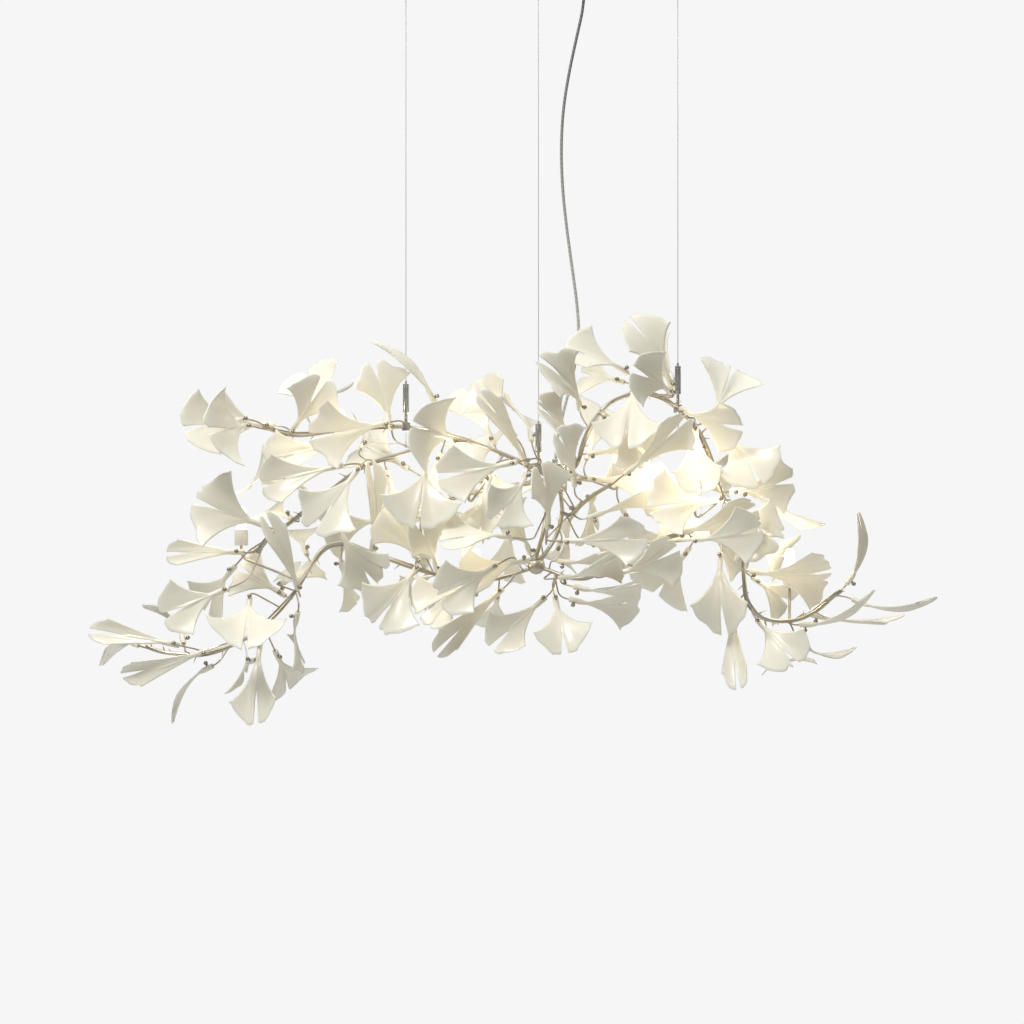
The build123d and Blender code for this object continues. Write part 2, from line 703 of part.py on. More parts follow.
# Grippers: stud and barrel, cap, plunger, and the saddle round the branch
with BuildPart() as gripper_barrels:
    for wire_x, wire_y, saddle_z in WIRES.values():
        saddle_top = saddle_z + SADDLE_Z / 2
        stud_foot = saddle_top - STUD_IN_SADDLE
        barrel_foot = stud_foot + STUD_H
        barrel_top = barrel_foot + BARREL_H
        well = PLUNGER_SHOULDER_H + PLUNGER_TRAVEL + 1.0
        with Locations((wire_x, wire_y, stud_foot)):
            Cylinder(STUD_D / 2, STUD_H, align=(Align.CENTER, Align.CENTER, Align.MIN))
        with Locations((wire_x, wire_y, barrel_foot)):
            Cylinder(BARREL_D / 2, BARREL_H, align=(Align.CENTER, Align.CENTER, Align.MIN))
        with Locations((wire_x, wire_y, barrel_top)):
            Cylinder(
                PLUNGER_D / 2 + PLUNGER_FIT, well,
                align=(Align.CENTER, Align.CENTER, Align.MAX), mode=Mode.SUBTRACT,
            )
        with Locations((wire_x, wire_y, stud_foot)):
            Cylinder(
                WIRE_BORE_D / 2, STUD_H + BARREL_H,
                align=(Align.CENTER, Align.CENTER, Align.MIN), mode=Mode.SUBTRACT,
            )
gripper_barrels.part.label = "gripper_barrels"
export_step(gripper_barrels.part, "parts/gripper_barrels.step")

with BuildPart() as gripper_caps:
    for wire_x, wire_y, saddle_z in WIRES.values():
        barrel_top = saddle_z + SADDLE_Z / 2 - STUD_IN_SADDLE + STUD_H + BARREL_H
        with BuildSketch(Plane.XY.offset(barrel_top)):
            with Locations((wire_x, wire_y)):
                Circle(BARREL_D / 2)
                Circle(PLUNGER_STEM_D / 2 + PLUNGER_FIT, mode=Mode.SUBTRACT)
        extrude(amount=CAP_H)
gripper_caps.part.label = "gripper_caps"
export_step(gripper_caps.part, "parts/gripper_caps.step")

for side, (wire_x, wire_y, saddle_z) in WIRES.items():
    barrel_top = saddle_z + SADDLE_Z / 2 - STUD_IN_SADDLE + STUD_H + BARREL_H
    with BuildPart() as plunger:
        with BuildSketch(Plane.XY.offset(barrel_top - PLUNGER_SHOULDER_H)):
            with Locations((wire_x, wire_y)):
                Circle(PLUNGER_D / 2)
        extrude(amount=PLUNGER_SHOULDER_H)
        with BuildSketch(Plane.XY.offset(barrel_top)):
            with Locations((wire_x, wire_y)):
                Circle(PLUNGER_STEM_D / 2)
        extrude(amount=CAP_H + PLUNGER_OUT)
        with BuildSketch(Plane.XY.offset(barrel_top - PLUNGER_SHOULDER_H)):
            with Locations((wire_x, wire_y)):
                Circle(WIRE_BORE_D / 2)
        extrude(amount=PLUNGER_SHOULDER_H + CAP_H + PLUNGER_OUT, mode=Mode.SUBTRACT)
    plunger.part.label = f"plunger_{side}"
    export_step(plunger.part, f"parts/plunger_{side}.step")

with BuildPart() as wire_saddles:
    for wire_x, wire_y, saddle_z in WIRES.values():
        with Locations((wire_x, wire_y + SADDLE_OFFSET / 2, saddle_z)):
            Box(SADDLE_X, SADDLE_OFFSET + SADDLE_X, SADDLE_Z)
        with Locations((wire_x, wire_y, saddle_z)):
            Cylinder(WIRE_BORE_D / 2, SADDLE_Z, mode=Mode.SUBTRACT)
        with Locations((wire_x, wire_y, saddle_z + SADDLE_Z / 2)):
            Cylinder(
                STUD_D / 2 + STUD_FIT, STUD_IN_SADDLE,
                align=(Align.CENTER, Align.CENTER, Align.MAX), mode=Mode.SUBTRACT,
            )
    for name in ("left_upper", "right_arch"):
        add(tube(BRANCHES[name], TUBE_D + 2 * SADDLE_FIT), mode=Mode.SUBTRACT)
wire_saddles.part.label = "wire_saddles"
export_step(wire_saddles.part, "parts/wire_saddles.step")

# Ceiling plate with end tabs, and the canopy cover that its side screws hold
tab_x = PLATE_LENGTH / 2 - PLATE_THICKNESS / 2
with BuildPart() as flat_plate:
    with Locations((0, 0, -PLATE_THICKNESS / 2)):
        Box(PLATE_LENGTH, PLATE_WIDTH, PLATE_THICKNESS)
        with Locations((SUPPLY_HOLE_X, 0, 0)):
            Cylinder(SUPPLY_HOLE_D / 2, 2 * PLATE_THICKNESS, mode=Mode.SUBTRACT)
        with GridLocations(PLATE_HOLE_SPACING, 0, 2, 1):
            Cylinder(PLATE_HOLE_D / 2, 2 * PLATE_THICKNESS, mode=Mode.SUBTRACT)

with BuildPart() as plate_tabs:
    for end in (-1, 1):
        with Locations((end * tab_x, 0, -PLATE_THICKNESS)):
            Box(
                PLATE_THICKNESS, TAB_WIDTH, TAB_HEIGHT - PLATE_THICKNESS,
                align=(Align.CENTER, Align.CENTER, Align.MAX),
            )
        with Locations(Location((end * tab_x, 0, SIDE_SCREW_Z), (0, 90, 0))):
            Cylinder(SIDE_SCREW_D / 2 + SCREW_FIT, 3 * PLATE_THICKNESS, mode=Mode.SUBTRACT)

ceiling_plate = Compound(children=[flat_plate.part.solid(), *plate_tabs.part.solids()], label="ceiling_plate")
export_step(ceiling_plate, "parts/ceiling_plate.step")

with BuildPart() as canopy_cover:
    with BuildSketch(Plane.XY.offset(-CANOPY_HEIGHT)):
        RectangleRounded(CANOPY_LENGTH, CANOPY_WIDTH, CANOPY_CORNER)
    extrude(amount=CANOPY_HEIGHT - RIM_GAP)
    with BuildSketch(Plane.XY.offset(-CANOPY_HEIGHT + CANOPY_WALL)):
        RectangleRounded(
            CANOPY_LENGTH - 2 * CANOPY_WALL, CANOPY_WIDTH - 2 * CANOPY_WALL, CANOPY_CORNER - CANOPY_WALL
        )
    extrude(amount=CANOPY_HEIGHT, mode=Mode.SUBTRACT)
    for end in (-1, 1):
        with Locations(Location((end * CANOPY_LENGTH / 2, 0, SIDE_SCREW_Z), (0, 90, 0))):
            Cylinder(SIDE_SCREW_D / 2 + SCREW_FIT, 3 * CANOPY_WALL, mode=Mode.SUBTRACT)
    for wire_x, wire_y, saddle_z in WIRES.values():
        with Locations((wire_x, wire_y, -CANOPY_HEIGHT)):
            Cylinder(BUSH_D / 2, 3 * CANOPY_WALL, mode=Mode.SUBTRACT)
    with Locations((CABLE_TOP[0], CABLE_TOP[1], -CANOPY_HEIGHT)):
        Cylinder(GLAND_BARREL_D / 2, 3 * CANOPY_WALL, mode=Mode.SUBTRACT)
canopy_cover.part.label = "canopy_cover"
export_step(canopy_cover.part, "parts/canopy_cover.step")

with BuildPart() as canopy_screws:
    for end in (-1, 1):
        inner_x = end * (tab_x - PLATE_THICKNESS / 2 - 1.0)
        head_x = end * CANOPY_LENGTH / 2
        with Locations(Location(((inner_x + head_x) / 2, 0, SIDE_SCREW_Z), (0, 90, 0))):
            Cylinder(SIDE_SCREW_D / 2, abs(head_x - inner_x))
        with Locations(Location((head_x + end, 0, SIDE_SCREW_Z), (0, 90, 0))):
            Cylinder(SIDE_SCREW_HEAD_D / 2, 2.0)
canopy_screws.part.label = "canopy_screws"
export_step(canopy_screws.part, "parts/canopy_screws.step")

# Anchors under the plate, bushes in the cover, cable gland and terminal block
with BuildPart() as ceiling_anchors:
    for wire_x, wire_y, saddle_z in WIRES.values():
        with Locations((wire_x, wire_y, -PLATE_THICKNESS)):
            Cylinder(ANCHOR_D / 2, ANCHOR_H, align=(Align.CENTER, Align.CENTER, Align.MAX))
            Cylinder(
                WIRE_BORE_D / 2, ANCHOR_H, align=(Align.CENTER, Align.CENTER, Align.MAX), mode=Mode.SUBTRACT
            )
            Cylinder(
                WIRE_NIPPLE_D / 2 + NIPPLE_FIT, WIRE_NIPPLE_H + 2 * NIPPLE_FIT,
                align=(Align.CENTER, Align.CENTER, Align.MAX), mode=Mode.SUBTRACT,
            )
ceiling_anchors.part.label = "ceiling_anchors"
export_step(ceiling_anchors.part, "parts/ceiling_anchors.step")

with BuildPart() as canopy_bushes:
    for wire_x, wire_y, saddle_z in WIRES.values():
        with BuildSketch(Plane.XY.offset(-CANOPY_HEIGHT - BUSH_FLANGE_H)):
            with Locations((wire_x, wire_y)):
                Circle(BUSH_FLANGE_D / 2)
                Circle(WIRE_BORE_D / 2, mode=Mode.SUBTRACT)
        extrude(amount=BUSH_FLANGE_H)
        with BuildSketch(Plane.XY.offset(-CANOPY_HEIGHT)):
            with Locations((wire_x, wire_y)):
                Circle(BUSH_D / 2)
                Circle(WIRE_BORE_D / 2, mode=Mode.SUBTRACT)
        extrude(amount=CANOPY_WALL + 1.0)
canopy_bushes.part.label = "canopy_bushes"
export_step(canopy_bushes.part, "parts/canopy_bushes.step")

with BuildPart() as cable_gland:
    with BuildSketch(Plane.XY.offset(-CANOPY_HEIGHT - GLAND_H)):
        with Locations(CABLE_TOP):
            Circle(GLAND_D / 2)
            Circle((CABLE_D + CABLE_FIT) / 2, mode=Mode.SUBTRACT)
    extrude(amount=GLAND_H)
    with BuildSketch(Plane.XY.offset(-CANOPY_HEIGHT)):
        with Locations(CABLE_TOP):
            Circle(GLAND_BARREL_D / 2)
            Circle((CABLE_D + CABLE_FIT) / 2, mode=Mode.SUBTRACT)
    extrude(amount=CANOPY_WALL + 3.0)
cable_gland.part.label = "cable_gland"
export_step(cable_gland.part, "parts/cable_gland.step")

terminal_foot = -PLATE_THICKNESS - TERMINAL_SIZE[2]
with BuildPart() as terminal_block:
    with Locations((CABLE_TOP[0], CABLE_TOP[1], -PLATE_THICKNESS - TERMINAL_SIZE[2] / 2)):
        Box(*TERMINAL_SIZE)
    with BuildSketch(Plane.XY.offset(terminal_foot)):
        with Locations(CABLE_TOP):
            Circle((CABLE_D + CABLE_FIT) / 2)
    extrude(amount=CABLE_IN_TERMINAL + 0.5, mode=Mode.SUBTRACT)
terminal_block.part.label = "terminal_block"
export_step(terminal_block.part, "parts/terminal_block.step")

# Power cable from the terminal block to the splice block in the hub
cable_start = (CABLE_TOP[0], CABLE_TOP[1], terminal_foot + CABLE_IN_TERMINAL)
cable_end = (hub_x, hub_y, hub_floor + HUB_H - CABLE_IN_TERMINAL + 0.5)
cable_points = (cable_start,) + CABLE_ROUTE + (cable_end,)
power_cable = tube(cable_points, CABLE_D)
power_cable.label = "power_cable"
export_step(power_cable, "parts/power_cable.step")

# Lamps: arm, holder, and a capsule on its base with two pins
with BuildPart() as lamp_arms:
    for branch_name, foot in LAMPS:
        holder_foot = Vector(*foot)
        drop = holder_foot - Vector(0, 0, ARM_DROP)
        root = braze_point((branch_name,), drop, 0.2)
        add(tube((root, drop, holder_foot + Vector(0, 0, ARM_IN_HOLDER)), ARM_D))
lamp_arms.part.label = "lamp_arms"
export_step(lamp_arms.part, "parts/lamp_arms.step")

with BuildPart() as lamp_holders:
    for branch_name, foot in LAMPS:
        with Locations(foot):
            Cylinder(HOLDER_D / 2, HOLDER_H, align=(Align.CENTER, Align.CENTER, Align.MIN))
            Cylinder(
                ARM_D / 2 + ARM_FIT, ARM_IN_HOLDER + ARM_FIT,
                align=(Align.CENTER, Align.CENTER, Align.MIN), mode=Mode.SUBTRACT,
            )
        with Locations((foot[0], foot[1], foot[2] + HOLDER_H)):
            Cylinder(
                SOCKET_D / 2 + BULB_FIT, SOCKET_H,
                align=(Align.CENTER, Align.CENTER, Align.MAX), mode=Mode.SUBTRACT,
            )
            with GridLocations(PIN_SPACING, 0, 2, 1):
                Cylinder(
                    PIN_D / 2 + PIN_FIT, SOCKET_H + PIN_H + PIN_FIT,
                    align=(Align.CENTER, Align.CENTER, Align.MAX), mode=Mode.SUBTRACT,
                )
lamp_holders.part.label = "lamp_holders"
export_step(lamp_holders.part, "parts/lamp_holders.step")

for number, (branch_name, foot) in enumerate(LAMPS, start=1):
    base_foot = foot[2] + HOLDER_H - SOCKET_H
    capsule_foot = base_foot + BULB_BASE_H
    dome_centre = capsule_foot + CAPSULE_H - CAPSULE_D / 2
    with BuildPart() as bulb:
        with Locations((foot[0], foot[1], base_foot)):
            Cylinder(SOCKET_D / 2, BULB_BASE_H, align=(Align.CENTER, Align.CENTER, Align.MIN))
            with GridLocations(PIN_SPACING, 0, 2, 1):
                Cylinder(PIN_D / 2, PIN_H, align=(Align.CENTER, Align.CENTER, Align.MAX))
        with Locations((foot[0], foot[1], capsule_foot)):
            Cylinder(CAPSULE_D / 2, CAPSULE_H - CAPSULE_D / 2, align=(Align.CENTER, Align.CENTER, Align.MIN))
        with Locations((foot[0], foot[1], dome_centre)):
            Sphere(CAPSULE_D / 2)
    bulb.part.label = f"bulb_{number}"
    export_step(bulb.part, f"parts/bulb_{number}.step")
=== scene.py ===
"""Looks of the leaf chandelier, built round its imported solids: porcelain ginkgo leaves, clamp screws,
twigged nickel branches, wires, cable and bulbs. Sizes are millimetres up to the last step of each piece."""
import json
from math import cos, log, pi, radians, sin
from typing import NamedTuple

import bmesh
import bpy
import numpy as np
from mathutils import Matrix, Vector


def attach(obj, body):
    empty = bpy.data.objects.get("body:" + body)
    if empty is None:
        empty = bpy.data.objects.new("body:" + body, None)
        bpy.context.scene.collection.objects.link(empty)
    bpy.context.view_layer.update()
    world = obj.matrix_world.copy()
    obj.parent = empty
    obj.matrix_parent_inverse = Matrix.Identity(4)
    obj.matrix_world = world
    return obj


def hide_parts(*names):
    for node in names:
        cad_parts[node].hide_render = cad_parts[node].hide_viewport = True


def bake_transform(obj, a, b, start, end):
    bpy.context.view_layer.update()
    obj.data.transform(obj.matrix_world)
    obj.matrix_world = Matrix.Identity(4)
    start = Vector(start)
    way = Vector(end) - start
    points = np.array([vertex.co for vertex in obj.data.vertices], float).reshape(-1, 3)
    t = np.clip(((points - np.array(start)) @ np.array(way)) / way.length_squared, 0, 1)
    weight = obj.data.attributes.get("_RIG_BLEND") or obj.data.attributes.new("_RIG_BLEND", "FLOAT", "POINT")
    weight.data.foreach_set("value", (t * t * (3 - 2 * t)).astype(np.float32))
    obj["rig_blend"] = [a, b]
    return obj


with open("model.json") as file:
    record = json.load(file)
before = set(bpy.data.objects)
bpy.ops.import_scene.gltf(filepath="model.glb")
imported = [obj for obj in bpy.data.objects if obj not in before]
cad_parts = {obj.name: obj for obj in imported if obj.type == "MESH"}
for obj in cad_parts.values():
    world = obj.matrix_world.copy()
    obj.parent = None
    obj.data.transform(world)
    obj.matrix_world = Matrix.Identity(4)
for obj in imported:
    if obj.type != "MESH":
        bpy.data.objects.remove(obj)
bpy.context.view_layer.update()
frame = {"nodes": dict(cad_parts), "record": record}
nodes_of = frame["nodes"]
MM = 0.001
scene = bpy.context.scene


def show(name, data):
    """A new object in the scene."""
    piece = bpy.data.objects.new(name, data)
    scene.collection.objects.link(piece)
    return piece


# Camera at the photograph's angle: level, from the front, with a long lens
CAMERA_AWAY = 7.0
VIEW_X = -0.0435
VIEW_Z = -0.8355
VIEW_WIDTH = 1.536
SENSOR_MM = 36.0
lens = bpy.data.cameras.new("front_view")
lens.sensor_width = SENSOR_MM
lens.lens = SENSOR_MM * CAMERA_AWAY / VIEW_WIDTH
camera = show("front_view", lens)
camera.location = (VIEW_X, -CAMERA_AWAY, VIEW_Z)
camera.rotation_euler = (radians(90), 0, 0)
scene.camera = camera
scene.view_settings.view_transform = "Standard"


class Value:
    """A node's output socket, written with in sums and products."""

    def __init__(self, maker, socket):
        self.maker = maker
        self.socket = socket

    def maths(self, operation, *others):
        return self.maker.maths(operation, self, *others)

    def __add__(self, other):
        return self.maths("ADD", other)

    __radd__ = __add__

    def __sub__(self, other):
        return self.maths("SUBTRACT", other)

    def __rsub__(self, other):
        return self.maker.maths("SUBTRACT", other, self)

    def __mul__(self, other):
        return self.maths("MULTIPLY", other)

    __rmul__ = __mul__

    def __truediv__(self, other):
        return self.maths("DIVIDE", other)

    def __rtruediv__(self, other):
        return self.maker.maths("DIVIDE", other, self)

    def __pow__(self, other):
        return self.maths("POWER", other)

    def __gt__(self, other):
        return self.maths("GREATER_THAN", other)

    def __abs__(self):
        return self.maths("ABSOLUTE")

    def is_row(self, number):
        """1 on the row of this number, else 0."""
        return self.maths("COMPARE", number, 0.25)

    def step(self, low, high):
        """0 below low, 1 above high, smooth between."""
        ends = {"Value": self, "From Min": low, "From Max": high}
        return self.maker.add("ShaderNodeMapRange", ends, {"interpolation_type": "SMOOTHSTEP"})


class Maker:
    """Adds nodes to one tree."""

    def __init__(self, tree):
        self.tree = tree

    def add(self, kind, sockets=None, settings=None, out=0):
        """A node of this kind: its settings first, then the values or links of its sockets."""
        node = self.tree.nodes.new(kind)
        for name, value in (settings or {}).items():
            setattr(node, name, value)
        for name, value in (sockets or {}).items():
            if isinstance(value, Value):
                self.tree.links.new(value.socket, node.inputs[name])
            else:
                node.inputs[name].default_value = value
        return Value(self, node.outputs[out])

    def maths(self, operation, *terms):
        return self.add("ShaderNodeMath", dict(enumerate(terms)), {"operation": operation})

    def vector_maths(self, operation, *terms, out=0):
        return self.add("ShaderNodeVectorMath", dict(enumerate(terms)), {"operation": operation}, out)

    def vector(self, x, y, z):
        return self.add("ShaderNodeCombineXYZ", {0: x, 1: y, 2: z})

    def column(self, label, kind="FLOAT"):
        """A named column of the points."""
        return self.add("GeometryNodeInputNamedAttribute", {"Name": label}, {"data_type": kind})

    def scaled(self, vector, size):
        """A vector times a number."""
        return self.vector_maths("MULTIPLY", vector, self.vector(size, size, size))

    def parts(self, vector):
        node = self.tree.nodes.new("ShaderNodeSeparateXYZ")
        self.tree.links.new(vector.socket, node.inputs[0])
        return [Value(self, socket) for socket in node.outputs]

    def lifted(self, solid, up):
        """Geometry moved up by a height."""
        move = self.vector(0.0, 0.0, up)
        return self.add("GeometryNodeTransform", {"Geometry": solid, "Translation": move})

    def turned(self, up, along):
        """Rotation that takes Z to one direction, and X as near as it goes to another."""
        axes = {"primary_axis": "Z", "secondary_axis": "X"}
        return self.add("FunctionNodeAxesToRotation", {0: up, 1: along}, axes)

    def spaced(self, curve, length):
        """A curve's points at even steps."""
        return self.add("GeometryNodeResampleCurve", {"Curve": curve, "Length": length}, {"mode": "LENGTH"})

    def mix(self, share, first, second):
        """Colour between two colours."""
        kind = {"data_type": "RGBA"}
        return self.add("ShaderNodeMix", {0: share, 6: first, 7: second}, kind, 2)


def geometry_tree(name, numbers):
    """A Geometry Nodes tree with one mesh or curve going in, and named numbers."""
    tree = bpy.data.node_groups.new(name, "GeometryNodeTree")
    tree.interface.new_socket("Geometry", in_out="OUTPUT", socket_type="NodeSocketGeometry")
    tree.interface.new_socket("Source", in_out="INPUT", socket_type="NodeSocketGeometry")
    for label in numbers:
        tree.interface.new_socket(label, in_out="INPUT", socket_type="NodeSocketFloat")
    maker = Maker(tree)
    group_in = tree.nodes.new("NodeGroupInput")
    inputs = {socket.name: Value(maker, socket) for socket in group_in.outputs if socket.name}
    return maker, inputs


def close_tree(maker, geometry, material):
    """Real, smooth and dressed geometry at the end of a tree."""
    real = maker.add("GeometryNodeRealizeInstances", {"Geometry": geometry})
    smooth = maker.add("GeometryNodeSetShadeSmooth", {"Geometry": real, "Shade Smooth": True})
    dressed = maker.add("GeometryNodeSetMaterial", {"Geometry": smooth, "Material": material})
    group_out = maker.tree.nodes.new("NodeGroupOutput")
    maker.tree.links.new(dressed.socket, group_out.inputs[0])
    return maker.tree


def grown(name, source, tree, numbers, keep=()):
    """The plain mesh that a tree makes from a source mesh or curve."""
    carrier = show(name + "_source", source)
    modifier = carrier.modifiers.new(tree.name, "NODES")
    modifier.node_group = tree
    for item in tree.interface.items_tree:
        if item.in_out == "INPUT" and item.name in numbers:
            modifier[item.identifier] = float(numbers[item.name])
    depsgraph = bpy.context.evaluated_depsgraph_get()
    mesh = bpy.data.meshes.new_from_object(carrier.evaluated_get(depsgraph))
    bpy.data.objects.remove(carrier)
    built_in = ("position", "material_index", "sharp_face", "UVMap") + tuple(keep)
    for label in [attribute.name for attribute in mesh.attributes]:
        if label not in built_in and not label.startswith("."):
            mesh.attributes.remove(mesh.attributes[label])
    mesh.name = name
    return show(name, mesh)


# Foot of each bulb holder, and the middle of the capsule above it
LAMPS = (
    Vector((-452, 44, -886)), Vector((-300, -30, -741)), Vector((-180, -10, -850)), Vector((-98, -18, -950)),
    Vector((-108, -44, -808)), Vector((118, 34, -786)), Vector((230, -22, -830)), Vector((374, 18, -950)),
)
CAPSULE_MIDDLE = Vector((0, 0, 43))
# Painted glow of the porcelain round each bulb, an emission that stands in for the bulbs' light through the
# wall: its strength, and its reach in metres
PAINTED_GLOWS = (
    (0.40, 0.062), (0.32, 0.060), (0.32, 0.060), (0.46, 0.064),
    (0.32, 0.060), (0.36, 0.060), (1.05, 0.086), (0.48, 0.066),
)


# Heights of the bump in a material, in metres
WAVY_BUMP = 0.001
TWIST_BUMP = 0.0004
FINE_BUMP = 0.0002
# Noise scales, per metre
CLOUD_SCALE = 9.0
GLAZE_SCALE = 42.0
PAINT_SCALE = 22.0
SCRATCH_SCALE = 700.0
FROST_SCALE = 800.0
SPECK_SCALE = 900.0
# Falloff of the painted glow round each bulb
GLOW_FALL = 2.4
TWIST_RADIANS_PER_METRE = 900.0


def material(name, **constants):
    """A Principled material, and the maker that feeds its sockets."""
    made = bpy.data.materials.new(name)
    made.use_nodes = True
    shader = made.node_tree.nodes["Principled BSDF"]
    for label, value in constants.items():
        shader.inputs[label.replace("_", " ")].default_value = value
    maker = Maker(made.node_tree)
    maker.where = maker.add("ShaderNodeTexCoord", out="Object")

    def feed(**links):
        for label, value in links.items():
            made.node_tree.links.new(value.socket, shader.inputs[label.replace("_", " ")])
        return made

    maker.feed = feed
    return maker


def noise(maker, scale, detail=2.0):
    return maker.add("ShaderNodeTexNoise", {"Vector": maker.where, "Scale": scale, "Detail": detail})


def bumped(maker, height, strength, distance=FINE_BUMP):
    sockets = {"Height": height, "Strength": strength, "Distance": distance}
    return maker.add("ShaderNodeBump", sockets)


def shade(red, green, blue):
    return (red, green, blue, 1.0)


def porcelain_material():
    """Ivory porcelain with painted light: a painted glow makes the thin rim a little brighter, and a painted
    warm glow near each bulb stands in for the light through the wall.
    """
    maker = material("ivory_porcelain", Subsurface_Weight=0.14, Subsurface_Scale=0.006,
                     Subsurface_Radius=(1.0, 0.92, 0.74), Coat_Weight=0.35, Coat_Roughness=0.12,
                     Emission_Strength=1.0, IOR=1.5)
    cloud = noise(maker, CLOUD_SCALE, 3.0)
    glaze = noise(maker, GLAZE_SCALE, 1.0)
    tone = maker.add("ShaderNodeAttribute", settings={"attribute_name": "tone"}, out="Fac")
    rim = maker.add("ShaderNodeAttribute", settings={"attribute_name": "rim"}, out="Fac")
    body = maker.mix(tone, shade(0.68, 0.66, 0.56), shade(0.79, 0.775, 0.675))
    clouded = maker.mix(cloud.step(0.35, 0.75), body, shade(0.73, 0.71, 0.615))
    # Painted light: the colour turns lighter towards the thin rim, a painted glow of light through the
    # thinner wall
    colour = maker.mix(rim * 0.6, clouded, shade(0.80, 0.79, 0.71))
    # Painted glow: an emission colour that grows near each bulb, standing in for the bulbs' light through the
    # porcelain
    glow = 0.0
    for lamp, (strength, reach) in zip(LAMPS, PAINTED_GLOWS):
        middle = (lamp + CAPSULE_MIDDLE) * MM
        away = maker.vector_maths("DISTANCE", maker.where, middle, out="Value") / reach
        glow = glow + strength / (1.0 + away * away * away * away * GLOW_FALL)
    glow_blend = maker.mix(glow.step(0.35, 0.8), shade(1.0, 0.82, 0.50), shade(1.0, 0.96, 0.88))
    painted_glow = maker.mix(glow.maths("MINIMUM", 1.0), shade(0.0, 0.0, 0.0), glow_blend)
    return maker.feed(Base_Color=colour, Roughness=0.27 + cloud * 0.16, Emission_Color=painted_glow,
                      Normal=bumped(maker, cloud + glaze * 0.2, 0.14, WAVY_BUMP))


def metal_material(name, colour, tint, scale, low, high, grain):
    """Metal whose colour drifts between two tints, with a fine drawn grain."""
    maker = material(name, Metallic=1.0)
    drift = noise(maker, scale, 3.0)
    scratch = noise(maker, SCRATCH_SCALE)
    blend = maker.mix(drift.step(0.38, 0.66), colour, tint)
    rough = low + drift * (high - low)
    return maker.feed(Base_Color=blend, Roughness=rough, Normal=bumped(maker, scratch, grain))


def plain_material(name, colour, second, rough, grain, **constants):
    """Paint, plastic or fired clay: two near colours under a fine texture."""
    maker = material(name, **constants)
    drift = noise(maker, PAINT_SCALE, 3.0)
    speck = noise(maker, SPECK_SCALE, 1.0)
    blend = maker.mix(drift.step(0.3, 0.7), colour, second)
    return maker.feed(Base_Color=blend, Roughness=rough + drift * 0.1, Normal=bumped(maker, speck, grain))


def braid_material():
    """Translucent grey sheath with the twist of its two cores showing through."""
    maker = material("cable_sheath", Transmission_Weight=0.12, IOR=1.48, Coat_Weight=0.15)
    along, around, _ = maker.parts(maker.add("ShaderNodeUVMap", settings={"uv_map": "UVMap"}))
    twist = (along * TWIST_RADIANS_PER_METRE + around * 2 * pi).maths("SINE") * 0.5 + 0.5
    height = maker.parts(maker.where)[2].step(-0.62, -0.04)
    pale = maker.mix(twist, shade(0.44, 0.46, 0.44), shade(0.56, 0.58, 0.55))
    dark = maker.mix(twist, shade(0.12, 0.12, 0.13), shade(0.21, 0.21, 0.22))
    return maker.feed(Base_Color=maker.mix(height, pale, dark), Roughness=0.32 + twist * 0.1,
                      Normal=bumped(maker, twist, 0.25, TWIST_BUMP))


def glowing_material():
    """Frosted bulb capsule, hot in the middle of its height."""
    maker = material("bulb_glass", Roughness=0.35, Emission_Strength=1.1)
    local = maker.parts(maker.add("ShaderNodeUVMap", settings={"uv_map": "UVMap"}))[0]
    glow_blend = local.step(0.25, 0.45) * (1.0 - local.step(0.8, 1.0))
    frost = noise(maker, FROST_SCALE)
    lit = maker.mix(glow_blend, shade(0.85, 0.62, 0.34), shade(1.0, 0.90, 0.68))
    colour = maker.mix(frost, shade(0.9, 0.88, 0.82), shade(0.98, 0.96, 0.9))
    return maker.feed(Base_Color=colour, Emission_Color=lit, Normal=bumped(maker, frost, 0.1))


porcelain = porcelain_material()
nickel = metal_material("brushed_nickel", shade(0.52, 0.50, 0.45), shade(0.43, 0.39, 0.27),
                        18.0, 0.24, 0.46, 0.1)
twig = metal_material("twig_wire", shade(0.50, 0.45, 0.38), shade(0.38, 0.30, 0.20),
                      26.0, 0.22, 0.42, 0.1)
polished = metal_material("polished_steel", shade(0.76, 0.76, 0.75), shade(0.70, 0.69, 0.66),
                          40.0, 0.08, 0.2, 0.04)
bronze = metal_material("screw_bronze", shade(0.40, 0.36, 0.30), shade(0.30, 0.26, 0.20),
                        90.0, 0.14, 0.26, 0.05)
gripper = metal_material("gripper_steel", shade(0.50, 0.50, 0.50), shade(0.42, 0.42, 0.41),
                         40.0, 0.18, 0.3, 0.1)
wire_metal = metal_material("wire_steel", shade(0.86, 0.86, 0.86), shade(0.80, 0.80, 0.80),
                            60.0, 0.25, 0.4, 0.3)
plate = metal_material("plate_steel", shade(0.52, 0.53, 0.54), shade(0.46, 0.47, 0.48),
                       12.0, 0.35, 0.55, 0.2)
paint = plain_material("canopy_paint", shade(0.84, 0.84, 0.83), shade(0.81, 0.81, 0.80), 0.38, 0.12)
gland = plain_material("gland_plastic", shade(0.70, 0.70, 0.69), shade(0.66, 0.66, 0.65), 0.4, 0.05)
terminal = plain_material("terminal_plastic", shade(0.82, 0.80, 0.72), shade(0.78, 0.76, 0.68), 0.42, 0.05)
insulation = plain_material("lead_insulation", shade(0.62, 0.58, 0.5), shade(0.55, 0.5, 0.42), 0.36, 0.03)
fired = plain_material("holder_ceramic", shade(0.82, 0.79, 0.72), shade(0.77, 0.74, 0.66), 0.3, 0.06,
                       Coat_Weight=0.3)
sheath = braid_material()
glowing = glowing_material()
